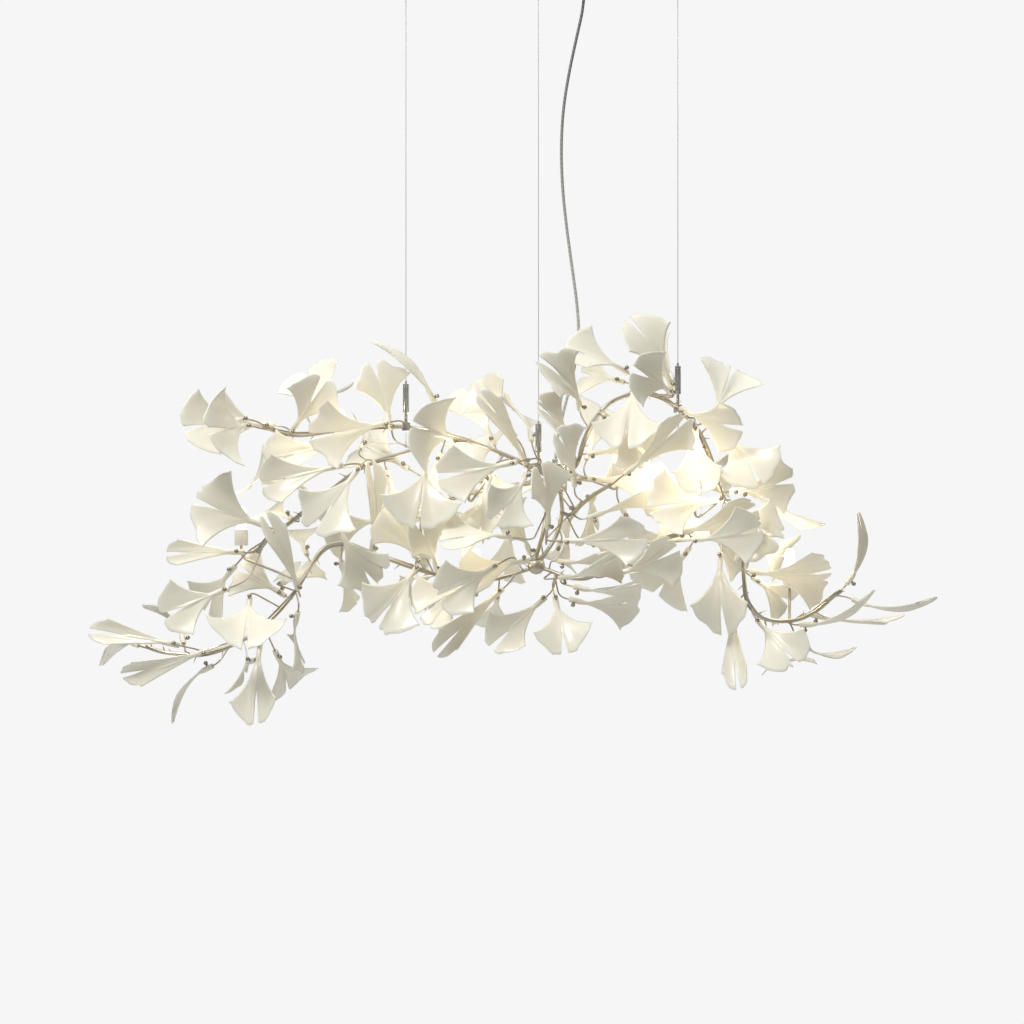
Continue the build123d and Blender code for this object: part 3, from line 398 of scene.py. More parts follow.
# Material of each slot
MATERIALS = {
    "porcelain": porcelain, "nickel_tube": nickel, "twig_wire": twig, "lead_insulation": insulation,
    "polished_steel": polished, "canopy_paint": paint, "plate_steel": plate, "gland_plastic": gland,
    "terminal_plastic": terminal, "wire_steel": wire_metal, "cable_sheath": sheath,
    "holder_ceramic": fired, "bulb_glass": glowing,
}


# Suspension wires and power cable
WIRE_D = 1.2
WIRE_ROUNDNESS = 4
ANCHOR_FOOT = -17.0
WIRE_BELOW_SADDLE = 32.0


class Wire(NamedTuple):
    """A suspension wire: its place, and the height of the branch its saddle holds."""

    x: float
    y: float
    saddle: float


WIRES = {"left": Wire(-203, 20, -707), "middle": Wire(-4, -26, -768), "right": Wire(206, 20, -680)}
CABLE_D = 4.4
CABLE_SIDES = 20
CABLE_ROUTE = (
    (66, 0, -14), (66, 0, -68), (54, 0, -121), (42, 0, -176), (33, 0, -232), (30, 0, -290),
    (32, 1, -348), (38, 2, -406), (46, 4, -464), (54, 6, -521), (57, 8, -562), (55, 10, -595),
    (49, 13, -625), (41, 16, -657), (33, 18, -689), (26, 20, -718), (22, 20, -742), (22, 20, -771.5),
)
GLAND_FOOT = -43.0
LID_TOP = -767.0


def route_curve(name, routes):
    """A curve object's data: one smooth spline for each route of millimetre points."""
    curve = bpy.data.curves.new(name, "CURVE")
    curve.dimensions = "3D"
    curve.resolution_u = 8
    for route in routes:
        spline = curve.splines.new("NURBS")
        spline.points.add(len(route) - 1)
        for point, place in zip(spline.points, route):
            point.co = (place[0] * MM, place[1] * MM, place[2] * MM, 1.0)
        spline.order_u = min(3, len(route))
        spline.use_endpoint_u = True
    return curve


def line_points(curve_data):
    """Points along a bevel-less curve, in order."""
    carrier = show(curve_data.name + "_line", curve_data)
    depsgraph = bpy.context.evaluated_depsgraph_get()
    mesh = bpy.data.meshes.new_from_object(carrier.evaluated_get(depsgraph))
    points = [vertex.co.copy() for vertex in mesh.vertices]
    bpy.data.objects.remove(carrier)
    return points


def ringed_mesh(name, vertices, around, heights, material_of):
    """A closed mesh from rings of points; U is the given height of each ring and V goes round."""
    faces = []
    for ring in range(len(heights) - 1):
        low = ring * around
        for step in range(around):
            after = (step + 1) % around
            faces.append((low + step, low + after, low + around + after, low + around + step))
    faces.append(tuple(reversed(range(around))))
    top = (len(heights) - 1) * around
    faces.append(tuple(top + step for step in range(around)))
    mesh = bpy.data.meshes.new(name)
    mesh.from_pydata(vertices, [], faces)
    layer = mesh.uv_layers.new(name="UVMap")
    for face in mesh.polygons:
        face.use_smooth = len(face.vertices) == 4
        at_seam = around - 1 in [vertex % around for vertex in face.vertices]
        for corner in face.loop_indices:
            ring, step = divmod(mesh.loops[corner].vertex_index, around)
            wrap = 1.0 if step == 0 and at_seam else step / around
            layer.data[corner].uv = (heights[ring], wrap)
    mesh.materials.append(material_of)
    return mesh


def tube_mesh(name, path, radius, around, material_of):
    """A closed round tube along a path, and its length in metres."""
    vertices = []
    run = [0.0]
    for before, after in zip(path, path[1:]):
        run.append(run[-1] + (after - before).length)
    side = Vector((0, 1, 0))
    for place, point in enumerate(path):
        ahead = path[min(place + 1, len(path) - 1)]
        behind = path[max(place - 1, 0)]
        tangent = (ahead - behind).normalized()
        side = (side - tangent * side.dot(tangent)).normalized()
        other = tangent.cross(side)
        for step in range(around):
            angle = 2 * pi * step / around
            vertices.append(point + (side * cos(angle) + other * sin(angle)) * radius)
    return ringed_mesh(name, vertices, around, run, material_of), run[-1]


for side_name, wire in WIRES.items():
    tail = wire.saddle - WIRE_BELOW_SADDLE
    curve = route_curve("steel_wire_" + side_name, [[(wire.x, wire.y, ANCHOR_FOOT), (wire.x, wire.y, tail)]])
    curve.bevel_depth = WIRE_D / 2 * MM
    curve.bevel_resolution = WIRE_ROUNDNESS
    curve.use_fill_caps = True
    curve.materials.append(wire_metal)
    steel_wire = show("steel_wire_" + side_name, curve)
    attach(steel_wire, "canopy")
    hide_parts("wire_" + side_name)

cable_path = line_points(route_curve("cable_route", [CABLE_ROUTE]))
cable_mesh, cable_length = tube_mesh("supply_cable", cable_path, CABLE_D / 2 * MM, CABLE_SIDES, sheath)
supply_cable = show("supply_cable", cable_mesh)
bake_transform(supply_cable, "canopy", "leaf_frame", (0.05, 0.0, GLAND_FOOT * MM), (0.05, 0.0, LID_TOP * MM))
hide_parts("power_cable")


class Mould(NamedTuple):
    """One leaf mould: length, width, where the corners sit, slit, roll radius and arch, in millimetres."""

    length: float
    width: float
    corner: float
    slit: float
    roll: float
    arch: float


MOULDS = {
    "fan": Mould(118, 104, 0.78, 36, 84, -200),
    "broad": Mould(110, 120, 0.74, 30, 92, -170),
    "cupped": Mould(126, 74, 0.80, 38, 44, -340),
    "horn": Mould(138, 46, 0.82, 42, 26, -280),
    "small": Mould(102, 88, 0.78, 30, 66, -160),
    "arched": Mould(112, 86, 0.78, 30, 66, -120),
    "sabre": Mould(124, 54, 0.80, 28, 60, -150),
}


class Leaf(NamedTuple):
    """A leaf: its mould, stalk foot in millimetres, heading and tilt of its rib, and turn about it."""

    mould: str
    x: float
    y: float
    z: float
    heading: float
    tilt: float
    turn: float


SPRAY_ROWS = {
    "left_tip": (
        ("horn", -540, -30, -1035, 168, 0, 15),
        ("sabre", -608, 49, -1037, 165, -60, 80),
        ("horn", -494, -58, -1040, 200, 0, -15),
        ("sabre", -492, -8, -1066, 207, -35, 85),
        ("sabre", -538, 30, -1034, 108, -50, 80),
    ),
    "left_bottom": (
        ("broad", -434, -49, -964, 268, 66, 0),
        ("cupped", -420, -25, -1030, 266, 30, 15),
        ("fan", -400, 18, -1044, 292, -45, -25),
        ("small", -430, 22, -1058, 203, -62, 40),
        ("small", -364, -13, -985, 256, -35, 75),
    ),
    "left_middle": (
        ("small", -466, -47, -949, 202, 21, 6),
        ("small", -460, 34, -916, 229, -20, 26),
        ("broad", -408, -40, -858, 160, 20, 0),
        ("horn", -446, 9, -896, 179, -19, 11),
        ("horn", -362, -50, -951, 106, 40, 30),
        ("small", -374, 22, -846, 153, -50, 40),
        ("small", -352, 28, -900, 115, -50, 40),
        ("small", -384, 24, -962, 150, -20, 0),
        ("small", -394, 38, -943, 7, -70, 92),
        ("small", -343, 0, -816, 133, -26, -15),
    ),
    "left_upper": (
        ("fan", -442, -36, -698, 185, 58, 15),
        ("broad", -440, -62, -708, 190, 80, 0),
        ("small", -402, 34, -705, 175, -12, 0),
        ("fan", -350, 57, -685, 73, -60, -25),
        ("small", -373, -23, -715, 52, 43, 18),
        ("cupped", -296, 25, -732, 190, 24, 31),
        ("cupped", -294, -62, -766, 192, 0, 10),
        ("small", -400, 2, -781, 168, -58, 24),
        ("fan", -270, -88, -770, 234, 34, 0),
        ("fan", -226, -46, -702, 193, 26, -10),
        ("fan", -310, 54, -705, 120, -20, 0),
    ),
    "left_centre": (
        ("sabre", -159, -18, -672, 116, 20, 65),
        ("small", -224, -8, -713, 101, 22, 18),
        ("broad", -132, -49, -728, 160, 72, 0),
        ("small", -270, 4, -741, 60, -62, 0),
        ("broad", -170, -92, -758, 263, 40, 0),
        ("horn", -253, -34, -894, 81, 27, 46),
        ("small", -306, -58, -856, 303, 15, 0),
        ("small", -300, 21, -909, 268, -60, 89),
        ("fan", -150, 36, -745, 250, -15, 10),
        ("small", -232, 6, -772, 285, -20, 10),
    ),
    "lower_left": (
        ("small", -182, -19, -910, 122, 40, 0),
        ("fan", -184, -50, -916, 235, 40, 0),
        ("small", -156, -40, -921, 100, 52, 40),
        ("small", -152, 28, -946, 235, -50, 20),
        ("fan", -80, -52, -940, 196, 28, 42),
        ("small", -66, -92, -914, 210, 34, 0),
        ("small", -126, 26, -930, 175, -45, 80),
        ("horn", -57, -30, -950, 222, 20, 10),
        ("small", -64, 18, -952, 262, -40, 0),
        ("fan", -120, 38, -925, 80, -30, 0),
    ),
    "bottom": (
        ("cupped", 6, -46, -963, 220, 40, 15),
        ("small", 20, -84, -962, 283, 52, -10),
        ("small", 48, -78, -946, 347, 30, 80),
        ("small", 42, -18, -966, 347, 15, 55),
        ("small", 25, -22, -909, 356, 23, 66),
        ("small", 28, -102, -933, 6, 38, 70),
    ),
    "centre": (
        ("cupped", 33, -151, -878, 1, 29, 14),
        ("cupped", 70, -47, -844, 18, 5, 60),
        ("small", -22, -140, -779, 244, 49, -28),
        ("small", 9, -41, -795, 191, -3, 33),
        ("small", -17, -39, -897, 109, 50, 56),
        ("small", -44, -132, -873, 172, 20, 55),
        ("small", -18, -60, -908, 188, 20, 50),
        ("small", 56, -18, -826, 240, -43, 69),
        ("small", 80, -12, -810, 247, -58, 80),
        ("small", 30, 30, -880, 250, -58, 0),
        ("small", 68, 0, -880, 346, -47, 19),
        ("small", 9, -107, -861, 86, 35, 46),
    ),
    "upper_centre": (
        ("small", 130, -15, -628, 149, 25, 50),
        ("small", 126, 28, -640, 165, -35, 10),
        ("arched", 58, -32, -682, 100, 58, 62),
        ("small", 46, -58, -741, 112, 44, 70),
        ("small", 49, -94, -797, 92, 44, 68),
        ("small", -38, -34, -724, 128, 0, -25),
        ("horn", -23, -32, -764, 115, 35, 42),
        ("small", -14, 14, -729, 100, -48, 60),
        ("small", 94, -25, -694, 318, 44, 0),
        ("fan", 141, -32, -645, 254, 51, 17),
        ("small", 70, -6, -748, 6, 15, 35),
        ("cupped", 70, 3, -784, -7, -6, 4),
        ("cupped", 123, -82, -780, 38, 20, 30),
        ("arched", -36, -155, -762, 192, 9, -4),
        ("small", -76, -74, -783, 252, 37, 32),
        ("fan", -70, 32, -735, 115, -20, 0),
        ("fan", 100, 46, -690, 300, -25, 0),
    ),
    "right_upper": (
        ("arched", 196, -16, -650, 112, 25, 25),
        ("small", 192, -50, -656, 148, 66, 10),
        ("small", 198, 52, -639, 88, -62, 80),
        ("small", 207, -57, -681, 331, 39, 38),
        ("fan", 257, 20, -698, 67, -28, -3),
        ("fan", 264, -31, -712, 312, 45, -20),
        ("cupped", 231, -30, -710, 270, 48, 10),
        ("small", 229, -18, -719, 253, 19, 49),
        ("small", 283, 10, -805, 7, -5, 12),
        ("horn", 304, 22, -798, 324, -10, 65),
        ("fan", 244, 37, -761, 214, -8, 3),
    ),
    "right_middle": (
        ("fan", 270, -50, -818, 182, 38, 20),
        ("cupped", 203, -78, -867, 13, 28, 35),
        ("small", 221, -119, -877, 6, 23, 13),
        ("arched", 268, -52, -897, 263, 40, 20),
        ("fan", 311, -24, -924, 352, 12, 35),
        ("small", 317, 14, -933, 326, -30, 0),
        ("fan", 280, -32, -824, 315, 55, 25),
        ("small", 296, 18, -850, 310, -50, 10),
        ("small", 316, 28, -885, 340, -40, 10),
        ("fan", 222, -32, -888, 236, -30, 0),
        ("small", 106, -94, -928, 14, 20, 35),
        ("fan", 152, -27, -908, 47, -16, -9),
    ),
    "right_tip": (
        ("horn", 288, -25, -985, 264, 48, 30),
        ("small", 322, -42, -996, 310, 50, 0),
        ("small", 350, 20, -1050, 318, -62, 40),
        ("sabre", 392, 10, -1032, 320, -48, 75),
        ("sabre", 387, -28, -1004, 2, 34, 80),
        ("horn", 406, 16, -990, 348, 0, 80),
        ("sabre", 466, -16, -966, 338, 28, 85),
        ("sabre", 460, 12, -943, 58, 45, 75),
    ),
    "rear": (
        ("fan", -200, 84, -770, 150, -30, 20),
        ("fan", -236, 104, -846, 190, -20, -20),
        ("small", -146, 151, -856, 233, -32, 57),
        ("fan", -90, 104, -790, 100, -40, 0),
        ("cupped", -44, 104, -850, 260, -35, 0),
        ("fan", 70, 100, -756, 70, -30, 10),
        ("fan", 124, 110, -830, 300, -30, 0),
        ("cupped", 200, 104, -806, 20, -30, 30),
        ("fan", 238, 108, -852, 330, -20, -10),
    ),
}
SPRAYS = {spray: [Leaf(*row) for row in rows] for spray, rows in SPRAY_ROWS.items()}


class Finish(NamedTuple):
    """How a mould's leaves come out: growth of the flanks, drawn-in tip and share of the usual scatter."""

    flank: float = 2.3
    taper: float = 0.0
    scatter: float = 1.0


FINISHES = {"horn": Finish(1.6, 0.16, 0.4), "sabre": Finish(1.3, 0.72, 0.35), "cupped": Finish(2.1, 0.0, 0.8)}
LEAF_SEED = 27
BLADE_FOOT = 12.0
CORNER_BULGE = 0.075
RIM_BREADTH = 0.62
RIM_FLATTER = 0.38
# Columns stand closer at the rib, by this power
COLUMN_CROWDING = 1.35
# Rim: slit, cut corners, shallow dip and narrow notch, the last two as shares of the leaf's half width
SLIT_HALF_WIDTH = 4.4
SLIT_ROUNDNESS = 0.65
CORNER_CUT = 7.0
CORNER_CUT_POWER = 16
DIP_AT = 0.7
DIP_REACH = 0.28
NOTCH_REACH = 0.07
# Broad and fine waves of the rim: radians over the half width, and height
BROAD_WAVE = (7.0, 2.2)
FINE_WAVE = (15.0, 0.7)
# Rows: where the stalk's side begins, and how the last rows round the rim off
FIRST_ROW = 6.0
EDGE_BACK = 1.2
RIM_BACK = 0.6
RIM_OUT = 0.9
# Socket rows: place along the stalk and share of its radius
SOCKET_ROWS = ((14.0, 0.0), (14.0, 0.33), (0.3, 0.33), (0.0, 0.52), (0.4, 0.93), (1.5, 1.0))
# Blade: narrowest half width, and how far its side columns stand in
NECK_HALF = 3.3
SIDE_IN = 2.0
LIP_IN = 0.35
EDGE_OUT = 0.9
ROLL_SHARE = 0.97
# Two sets of ripples in the face: radians over the half width, radians a millimetre, and height
CROSS_RIPPLE = (7.0, 0.06, 0.55)
SLANT_RIPPLE = (4.0, 0.035, 0.8)
RIPPLE_ZONE = (18.0, 60.0)
# The wall thins over this length at the rim, and the round stalk opens to the blade over these
RIM_ZONE = 16.0
RIM_THINNING = 0.35
OPENING = (16.0, 44.0)
STALK_FADE = (16.0, 42.0)
STALK_SHRINK = 0.55
LEAF_WELD = 0.01 * MM


def leaf_axes(leaf):
    """Directions of a leaf's rib, of its right side and of its face."""
    heading = radians(leaf.heading)
    tilt = radians(leaf.tilt)
    turn = radians(leaf.turn)
    along = Vector((cos(tilt) * cos(heading), -sin(tilt), cos(tilt) * sin(heading)))
    front = Vector((0, -1, 0))
    front = (front - along * front.dot(along)).normalized()
    face = front * cos(turn) + along.cross(front) * sin(turn)
    return along, face.cross(along), face


def point_mesh(name, places, columns):
    """A mesh of loose points that carries named number and vector columns."""
    mesh = bpy.data.meshes.new(name)
    mesh.from_pydata([tuple(place) for place in places], [], [])
    for label, values in columns.items():
        if np.ndim(values) == 2:
            column = mesh.attributes.new(label, "FLOAT_VECTOR", "POINT")
            column.data.foreach_set("vector", np.ravel(values).astype(np.float32))
        else:
            column = mesh.attributes.new(label, "FLOAT", "POINT")
            column.data.foreach_set("value", np.asarray(values, np.float32))
    return mesh


def leaf_points(name, leaves, seed):
    """One point for each leaf of a spray, with its mould's sizes and a little scatter of its own."""
    scatter = np.random.default_rng(seed)
    moulds = [MOULDS[leaf.mould] for leaf in leaves]
    finishes = [FINISHES.get(leaf.mould, Finish()) for leaf in leaves]
    calm = np.array([finish.scatter for finish in finishes])
    ribs, sides, faces = zip(*[leaf_axes(leaf) for leaf in leaves])
    count = len(leaves)
    length = np.array([mould.length for mould in moulds])
    corner = np.array([mould.length * mould.corner for mould in moulds])
    bend = np.log(0.5 - CORNER_BULGE * length / (length - corner)) / log(RIM_BREADTH)
    columns = {
        "rib": ribs,
        "side": sides,
        "face": faces,
        "foot": [(leaf.x, leaf.y, leaf.z) for leaf in leaves],
        "length": length,
        "half": [mould.width / 2 for mould in moulds],
        "corner": corner,
        "slit": [mould.slit * share for mould, share in zip(moulds, scatter.uniform(0.85, 1.25, count))],
        "roll": [mould.roll for mould in moulds],
        "arch": [-mould.arch for mould in moulds],
        "bend": bend,
        "flank": [finish.flank for finish in finishes],
        "taper": [finish.taper for finish in finishes],
        "phase": scatter.uniform(0, 2 * pi, count),
        "wave": scatter.uniform(0.5, 1.5, count) * calm,
        "notch": scatter.uniform(-6, 11, count).clip(0) * calm,
        "notch_at": scatter.uniform(-0.62, 0.62, count),
        "dip": scatter.uniform(0, 9, count) * calm,
        "curl": scatter.uniform(-13, 7, count) * calm,
        "twist": scatter.uniform(-9, 9, count) * calm,
        "tone": scatter.uniform(0, 1, count),
    }
    return point_mesh(name, [(0, 0, 0)] * count, columns)


def leaf_tree():
    """Ginkgo leaf: a tube of rows and columns pressed by one rule into a socketed stalk and a split fan."""
    maker, given = geometry_tree("ginkgo_leaf", ("Columns", "Rows", "Half thickness", "Stalk radius"))
    columns = given["Columns"]
    rows = given["Rows"]
    thick = given["Half thickness"]
    stalk = given["Stalk radius"]

    column = maker.column

    def store(geometry, label, value):
        sockets = {"Geometry": geometry, "Name": label, "Value": value}
        return maker.add("GeometryNodeStoreNamedAttribute", sockets, {"domain": "POINT"})

    tube = maker.add("GeometryNodeMeshCylinder", {"Vertices": (columns + 1) * 2, "Side Segments": rows,
                     "Radius": 1.0, "Depth": 1.0}, {"fill_type": "NONE"})
    tube_x, tube_y, tube_z = maker.parts(maker.add("GeometryNodeInputPosition"))
    tube = store(tube, "around", tube_y.maths("ARCTAN2", tube_x))
    tube = store(tube, "row", ((tube_z + 0.5) * rows).maths("ROUND"))
    leaves = maker.add("GeometryNodeInstanceOnPoints", {"Points": given["Source"], "Instance": tube})
    leaves = maker.add("GeometryNodeRealizeInstances", {"Geometry": leaves})

    around = column("around")
    row = column("row")
    length = column("length")
    half = column("half")
    corner = column("corner")
    phase = column("phase")
    wave = column("wave")
    place = ((abs(around) * (columns + 1)) / pi).maths("ROUND")
    spread = 1 - 2 * (place - 1) / (columns - 1)
    upper = (around * 1000.0).maths("SIGN")
    edge = abs(spread) > 1.001
    lip = (abs(spread) > 0.999) - edge
    inner = (abs(spread) * (columns - 1) / (columns - 3)).maths("MINIMUM", 1.0)
    share = spread.maths("SIGN") * inner ** COLUMN_CROWDING

    rise = (((row - 5) / (rows - 7)).maths("MAXIMUM", 0.0)).maths("MINIMUM", 1.0)
    reach = abs(share)
    drawn_in = corner + RIM_FLATTER * (length - corner)
    rim_x = drawn_in + (length - drawn_in) * (1 - reach ** column("bend"))
    rim_y = half * reach
    rim_x = rim_x - column("slit") * (1 - rim_y / SLIT_HALF_WIDTH).maths("MAXIMUM", 0.0) ** SLIT_ROUNDNESS
    rim_x = rim_x - CORNER_CUT * reach ** CORNER_CUT_POWER
    rim_x = rim_x - column("dip") * (1 - ((reach - DIP_AT) / DIP_REACH) ** 2).maths("MAXIMUM", 0.0)
    from_notch = abs(share - column("notch_at")) / NOTCH_REACH
    rim_x = rim_x - column("notch") * (1 - from_notch).maths("MAXIMUM", 0.0)
    broad = (reach * BROAD_WAVE[0] + phase).maths("SINE") * BROAD_WAVE[1]
    fine = (share * FINE_WAVE[0] + phase).maths("SINE") * FINE_WAVE[1]
    rim_x = rim_x + wave * (broad + fine)
    end_x = rim_x - EDGE_BACK * edge
    x = FIRST_ROW + (end_x - FIRST_ROW - RIM_BACK) * rise
    last = row.is_row(rows)
    x = x + RIM_OUT * last
    ring = stalk
    for number, (socket_x, part) in enumerate(SOCKET_ROWS):
        chosen = row.is_row(number)
        x = x + chosen * (socket_x - x)
        ring = ring + chosen * (stalk * part - ring)

    level = FIRST_ROW + (corner - FIRST_ROW) * rise
    past = ((level - BLADE_FOOT) / (corner - BLADE_FOOT)).maths("MAXIMUM", 0.0)
    width = NECK_HALF + (half - NECK_HALF) * past ** column("flank") * (1 - column("taper") * rise ** 3)
    y = share * (width - SIDE_IN)
    y = y + (edge + lip) * (spread.maths("SIGN") * (width - LIP_IN + edge * EDGE_OUT) - y)
    roll = column("roll")
    arch = column("arch")
    y_safe = abs(y).maths("MINIMUM", roll * ROLL_SHARE)
    slope = (roll * roll - y_safe * y_safe).maths("SQRT")
    lift = roll - slope
    bow = arch + lift
    run = (x - BLADE_FOOT).maths("MAXIMUM", 0.0)
    deep = (bow * bow - run * run).maths("SQRT")
    z = deep - arch
    over, onward, height = CROSS_RIPPLE
    ripple = (reach * over + x * onward + phase).maths("SINE") * wave * height
    over, onward, height = SLANT_RIPPLE
    ripple = ripple + (share * over - x * onward + phase * 2.0).maths("SINE") * wave * height
    z = z + ripple * run.step(*RIPPLE_ZONE)
    end_share = run / length
    z = z + column("curl") * end_share ** 3 * reach ** 2 + column("twist") * end_share ** 2 * share
    lean_x = run / deep
    lean_y = 0 - (bow / deep) * (y / slope)
    size = (1 + lean_x * lean_x + lean_y * lean_y).maths("SQRT")
    rim_near = x.step(end_x - RIM_ZONE, end_x + 1.0)
    half_wall = upper * thick * (1 - edge) * (1 - last) * (1 - RIM_THINNING * rim_near) / size
    blade_x = x + lean_x * half_wall
    blade_y = y + lean_y * half_wall
    blade_z = z + half_wall
    open_out = x.step(*OPENING)
    stem = ring * (1 - STALK_SHRINK * x.step(*STALK_FADE))
    stem_y = stem * around.maths("COSINE")
    stem_z = stem * around.maths("SINE")
    local_x = x + open_out * (blade_x - x)
    local_y = stem_y + open_out * (blade_y - stem_y)
    local_z = stem_z + open_out * (blade_z - stem_z)

    spot = column("foot", "FLOAT_VECTOR")
    for label, distance in (("rib", local_x), ("side", local_y), ("face", local_z)):
        spot = maker.vector_maths("ADD", spot, maker.scaled(column(label, "FLOAT_VECTOR"), distance))
    spot = maker.vector_maths("MULTIPLY", spot, (MM, MM, MM))
    # Closeness to the rim, which the porcelain material reads for its painted glow at the thin rim
    leaves = store(leaves, "rim", rim_near)
    leaves = maker.add("GeometryNodeSetPosition", {"Geometry": leaves, "Position": spot})
    leaves = maker.add("GeometryNodeMergeByDistance", {"Geometry": leaves, "Distance": LEAF_WELD})
    return close_tree(maker, leaves, porcelain)


LEAF_NUMBERS = {"Columns": 41, "Rows": 30, "Half thickness": 1.2, "Stalk radius": 4.2}
leaf_rule = leaf_tree()
for number, (spray, leaves) in enumerate(SPRAYS.items()):
    points = leaf_points(spray, leaves, LEAF_SEED + number)
    piece = grown("porcelain_" + spray, points, leaf_rule, LEAF_NUMBERS, keep=("tone", "rim"))
    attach(piece, "leaf_frame")
    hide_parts("leaves_" + spray)


# Clamp screw of each leaf: ball head standing off the stalk on a thin shank
BALL_X = 9.0
BALL_HEIGHT = 8.4
BALL_R = 3.3
SHANK_R = 1.2
SHANK_FOOT = 1.6
COLLAR_GROWTH = 1.6
COLLAR_DEPTH = 1.1
COLLAR_HEIGHT = 4.7


def screw_tree():
    """A ball head, collar and shank on every point, turned to that point's face direction."""
    maker, given = geometry_tree("clamp_screw", ("Ball radius", "Shank radius", "Ball height"))
    ball_r = given["Ball radius"]
    shank_r = given["Shank radius"]
    height = given["Ball height"]

    def cylinder(vertices, radius, depth):
        sizes = {"Vertices": vertices, "Radius": radius, "Depth": depth}
        return maker.add("GeometryNodeMeshCylinder", sizes)

    ball = maker.add("GeometryNodeMeshUVSphere", {"Segments": 20, "Rings": 12, "Radius": ball_r})
    ball = maker.lifted(ball, height)
    rod = maker.lifted(cylinder(14, shank_r, height - SHANK_FOOT * MM), (height + SHANK_FOOT * MM) / 2)
    collar = maker.lifted(cylinder(20, shank_r * COLLAR_GROWTH, COLLAR_DEPTH * MM), COLLAR_HEIGHT * MM)
    joined = maker.tree.nodes.new("GeometryNodeJoinGeometry")
    for solid in (ball, rod, collar):
        maker.tree.links.new(solid.socket, joined.inputs[0])
    one = Value(maker, joined.outputs[0])

    turned = maker.turned(maker.column("face", "FLOAT_VECTOR"), maker.column("rib", "FLOAT_VECTOR"))
    screws = maker.add("GeometryNodeInstanceOnPoints",
                       {"Points": given["Source"], "Instance": one, "Rotation": turned})
    return close_tree(maker, screws, bronze)


ribs = []
faces = []
feet = []
for leaf in [leaf for leaves in SPRAYS.values() for leaf in leaves]:
    rib, _, face = leaf_axes(leaf)
    ribs.append(rib)
    faces.append(face)
    feet.append((Vector((leaf.x, leaf.y, leaf.z)) + rib * BALL_X) * MM)
screw_points = point_mesh("screws", feet, {"rib": ribs, "face": faces})
screw_sizes = {"Ball radius": BALL_R * MM, "Shank radius": SHANK_R * MM, "Ball height": BALL_HEIGHT * MM}
screws = grown("clamp_screws", screw_points, screw_tree(), screw_sizes)
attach(screws, "leaf_frame")
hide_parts("leaf_screws")


# Middle lines of the branch tubes
BRANCHES = {
    "left_upper": (
        (8, 11, -781), (-2, -10, -772), (-20, -16, -764), (-61, -12, -746), (-121, -5, -725),
        (-172, 16, -712), (-203, 30, -707), (-240, 32, -705), (-301, 22, -712), (-361, 10, -721),
        (-388, 4, -718), (-418, 0, -707),
    ),
    "left_middle": (
        (-174, -18, -733), (-205, -34, -748), (-240, -42, -756), (-264, -46, -766),
        (-300, -44, -792), (-340, -36, -826), (-384, -26, -858), (-408, -20, -870), (-426, -16, -896),
    ),
    "left_lower": (
        (-15, -2, -920), (-61, 0, -935), (-121, 8, -938), (-181, 14, -924), (-249, 18, -899),
        (-294, 16, -880), (-326, 10, -886), (-347, 4, -918), (-366, 0, -952), (-397, -4, -990),
        (-432, -6, -1020), (-471, 0, -1040), (-519, 5, -1051), (-571, 12, -1046), (-594, 18, -1038),
    ),
    "right_arch": (
        (37, 20, -780), (56, 18, -764), (62, 14, -732), (78, 10, -698), (104, 8, -669), (148, 12, -654),
        (184, 24, -664), (206, 30, -680), (236, 24, -708), (256, 12, -752), (267, 2, -802),
        (289, -4, -840), (304, -6, -884), (303, -8, -930), (308, -8, -968), (326, -6, -992),
        (352, -4, -1000), (386, -4, -998), (414, -4, -984), (438, -4, -962), (450, -4, -954),
    ),
    "right_lower": (
        (1, -3, -919), (51, -24, -938), (89, -38, -926), (141, -48, -894), (186, -52, -874), (226, -48, -864),
    ),
    "rear_left": (
        (12, 32, -786), (-50, 72, -796), (-130, 96, -812), (-206, 104, -846),
    ),
    "rear_right": (
        (32, 32, -786), (84, 72, -782), (150, 92, -800), (214, 90, -838),
    ),
}

TUBE_R = 3.0
ROD_R = 1.1
ROD_STEP = 4.0
ROD_TURNS_PER_METRE = 4.0
SPUR_SPACING = 10.0
SPUR_LENGTH = 9.0
SPUR_FOOT_R = 1.0
SPUR_TIP_R = 0.35
SPUR_LEAN = 0.55
SPUR_SINK = 0.7
SPUR_GROWTH = (0.6, 1.5)
SPUR_CHANCE = 0.55


def spur_tree():
    """Short pointed spurs that stand off a branch all along its way."""
    maker, given = geometry_tree("branch_spurs", ("Spacing", "Spur length", "Tube radius"))
    spaced = maker.spaced(given["Source"], given["Spacing"])
    tangent = maker.add("GeometryNodeInputTangent")
    anyway = maker.add("FunctionNodeRandomValue", {0: (-1.0, -1.0, -1.0), 1: (1.0, 1.0, 1.0), "Seed": 5},
                       {"data_type": "FLOAT_VECTOR"})
    across = maker.vector_maths("NORMALIZE", maker.vector_maths("CROSS_PRODUCT", tangent, anyway))
    leaning = maker.vector_maths("ADD", across, maker.scaled(tangent, SPUR_LEAN))
    turned = maker.turned(leaning, tangent)
    spur = maker.add("GeometryNodeMeshCone", {"Vertices": 8, "Radius Top": SPUR_TIP_R * MM,
                     "Radius Bottom": SPUR_FOOT_R * MM, "Depth": given["Spur length"]})
    spur = maker.lifted(spur, given["Tube radius"] * SPUR_SINK)
    least, most = SPUR_GROWTH
    grow = maker.add("FunctionNodeRandomValue", {2: least, 3: most, "Seed": 8}, {"data_type": "FLOAT"}, 1)
    some = maker.add("FunctionNodeRandomValue", {"Probability": SPUR_CHANCE, "Seed": 3},
                     {"data_type": "BOOLEAN"}, 3)
    spurs = maker.add("GeometryNodeInstanceOnPoints", {"Points": spaced, "Selection": some, "Instance": spur,
                      "Rotation": turned, "Scale": maker.vector(1.0, 1.0, grow)})
    return close_tree(maker, spurs, twig)


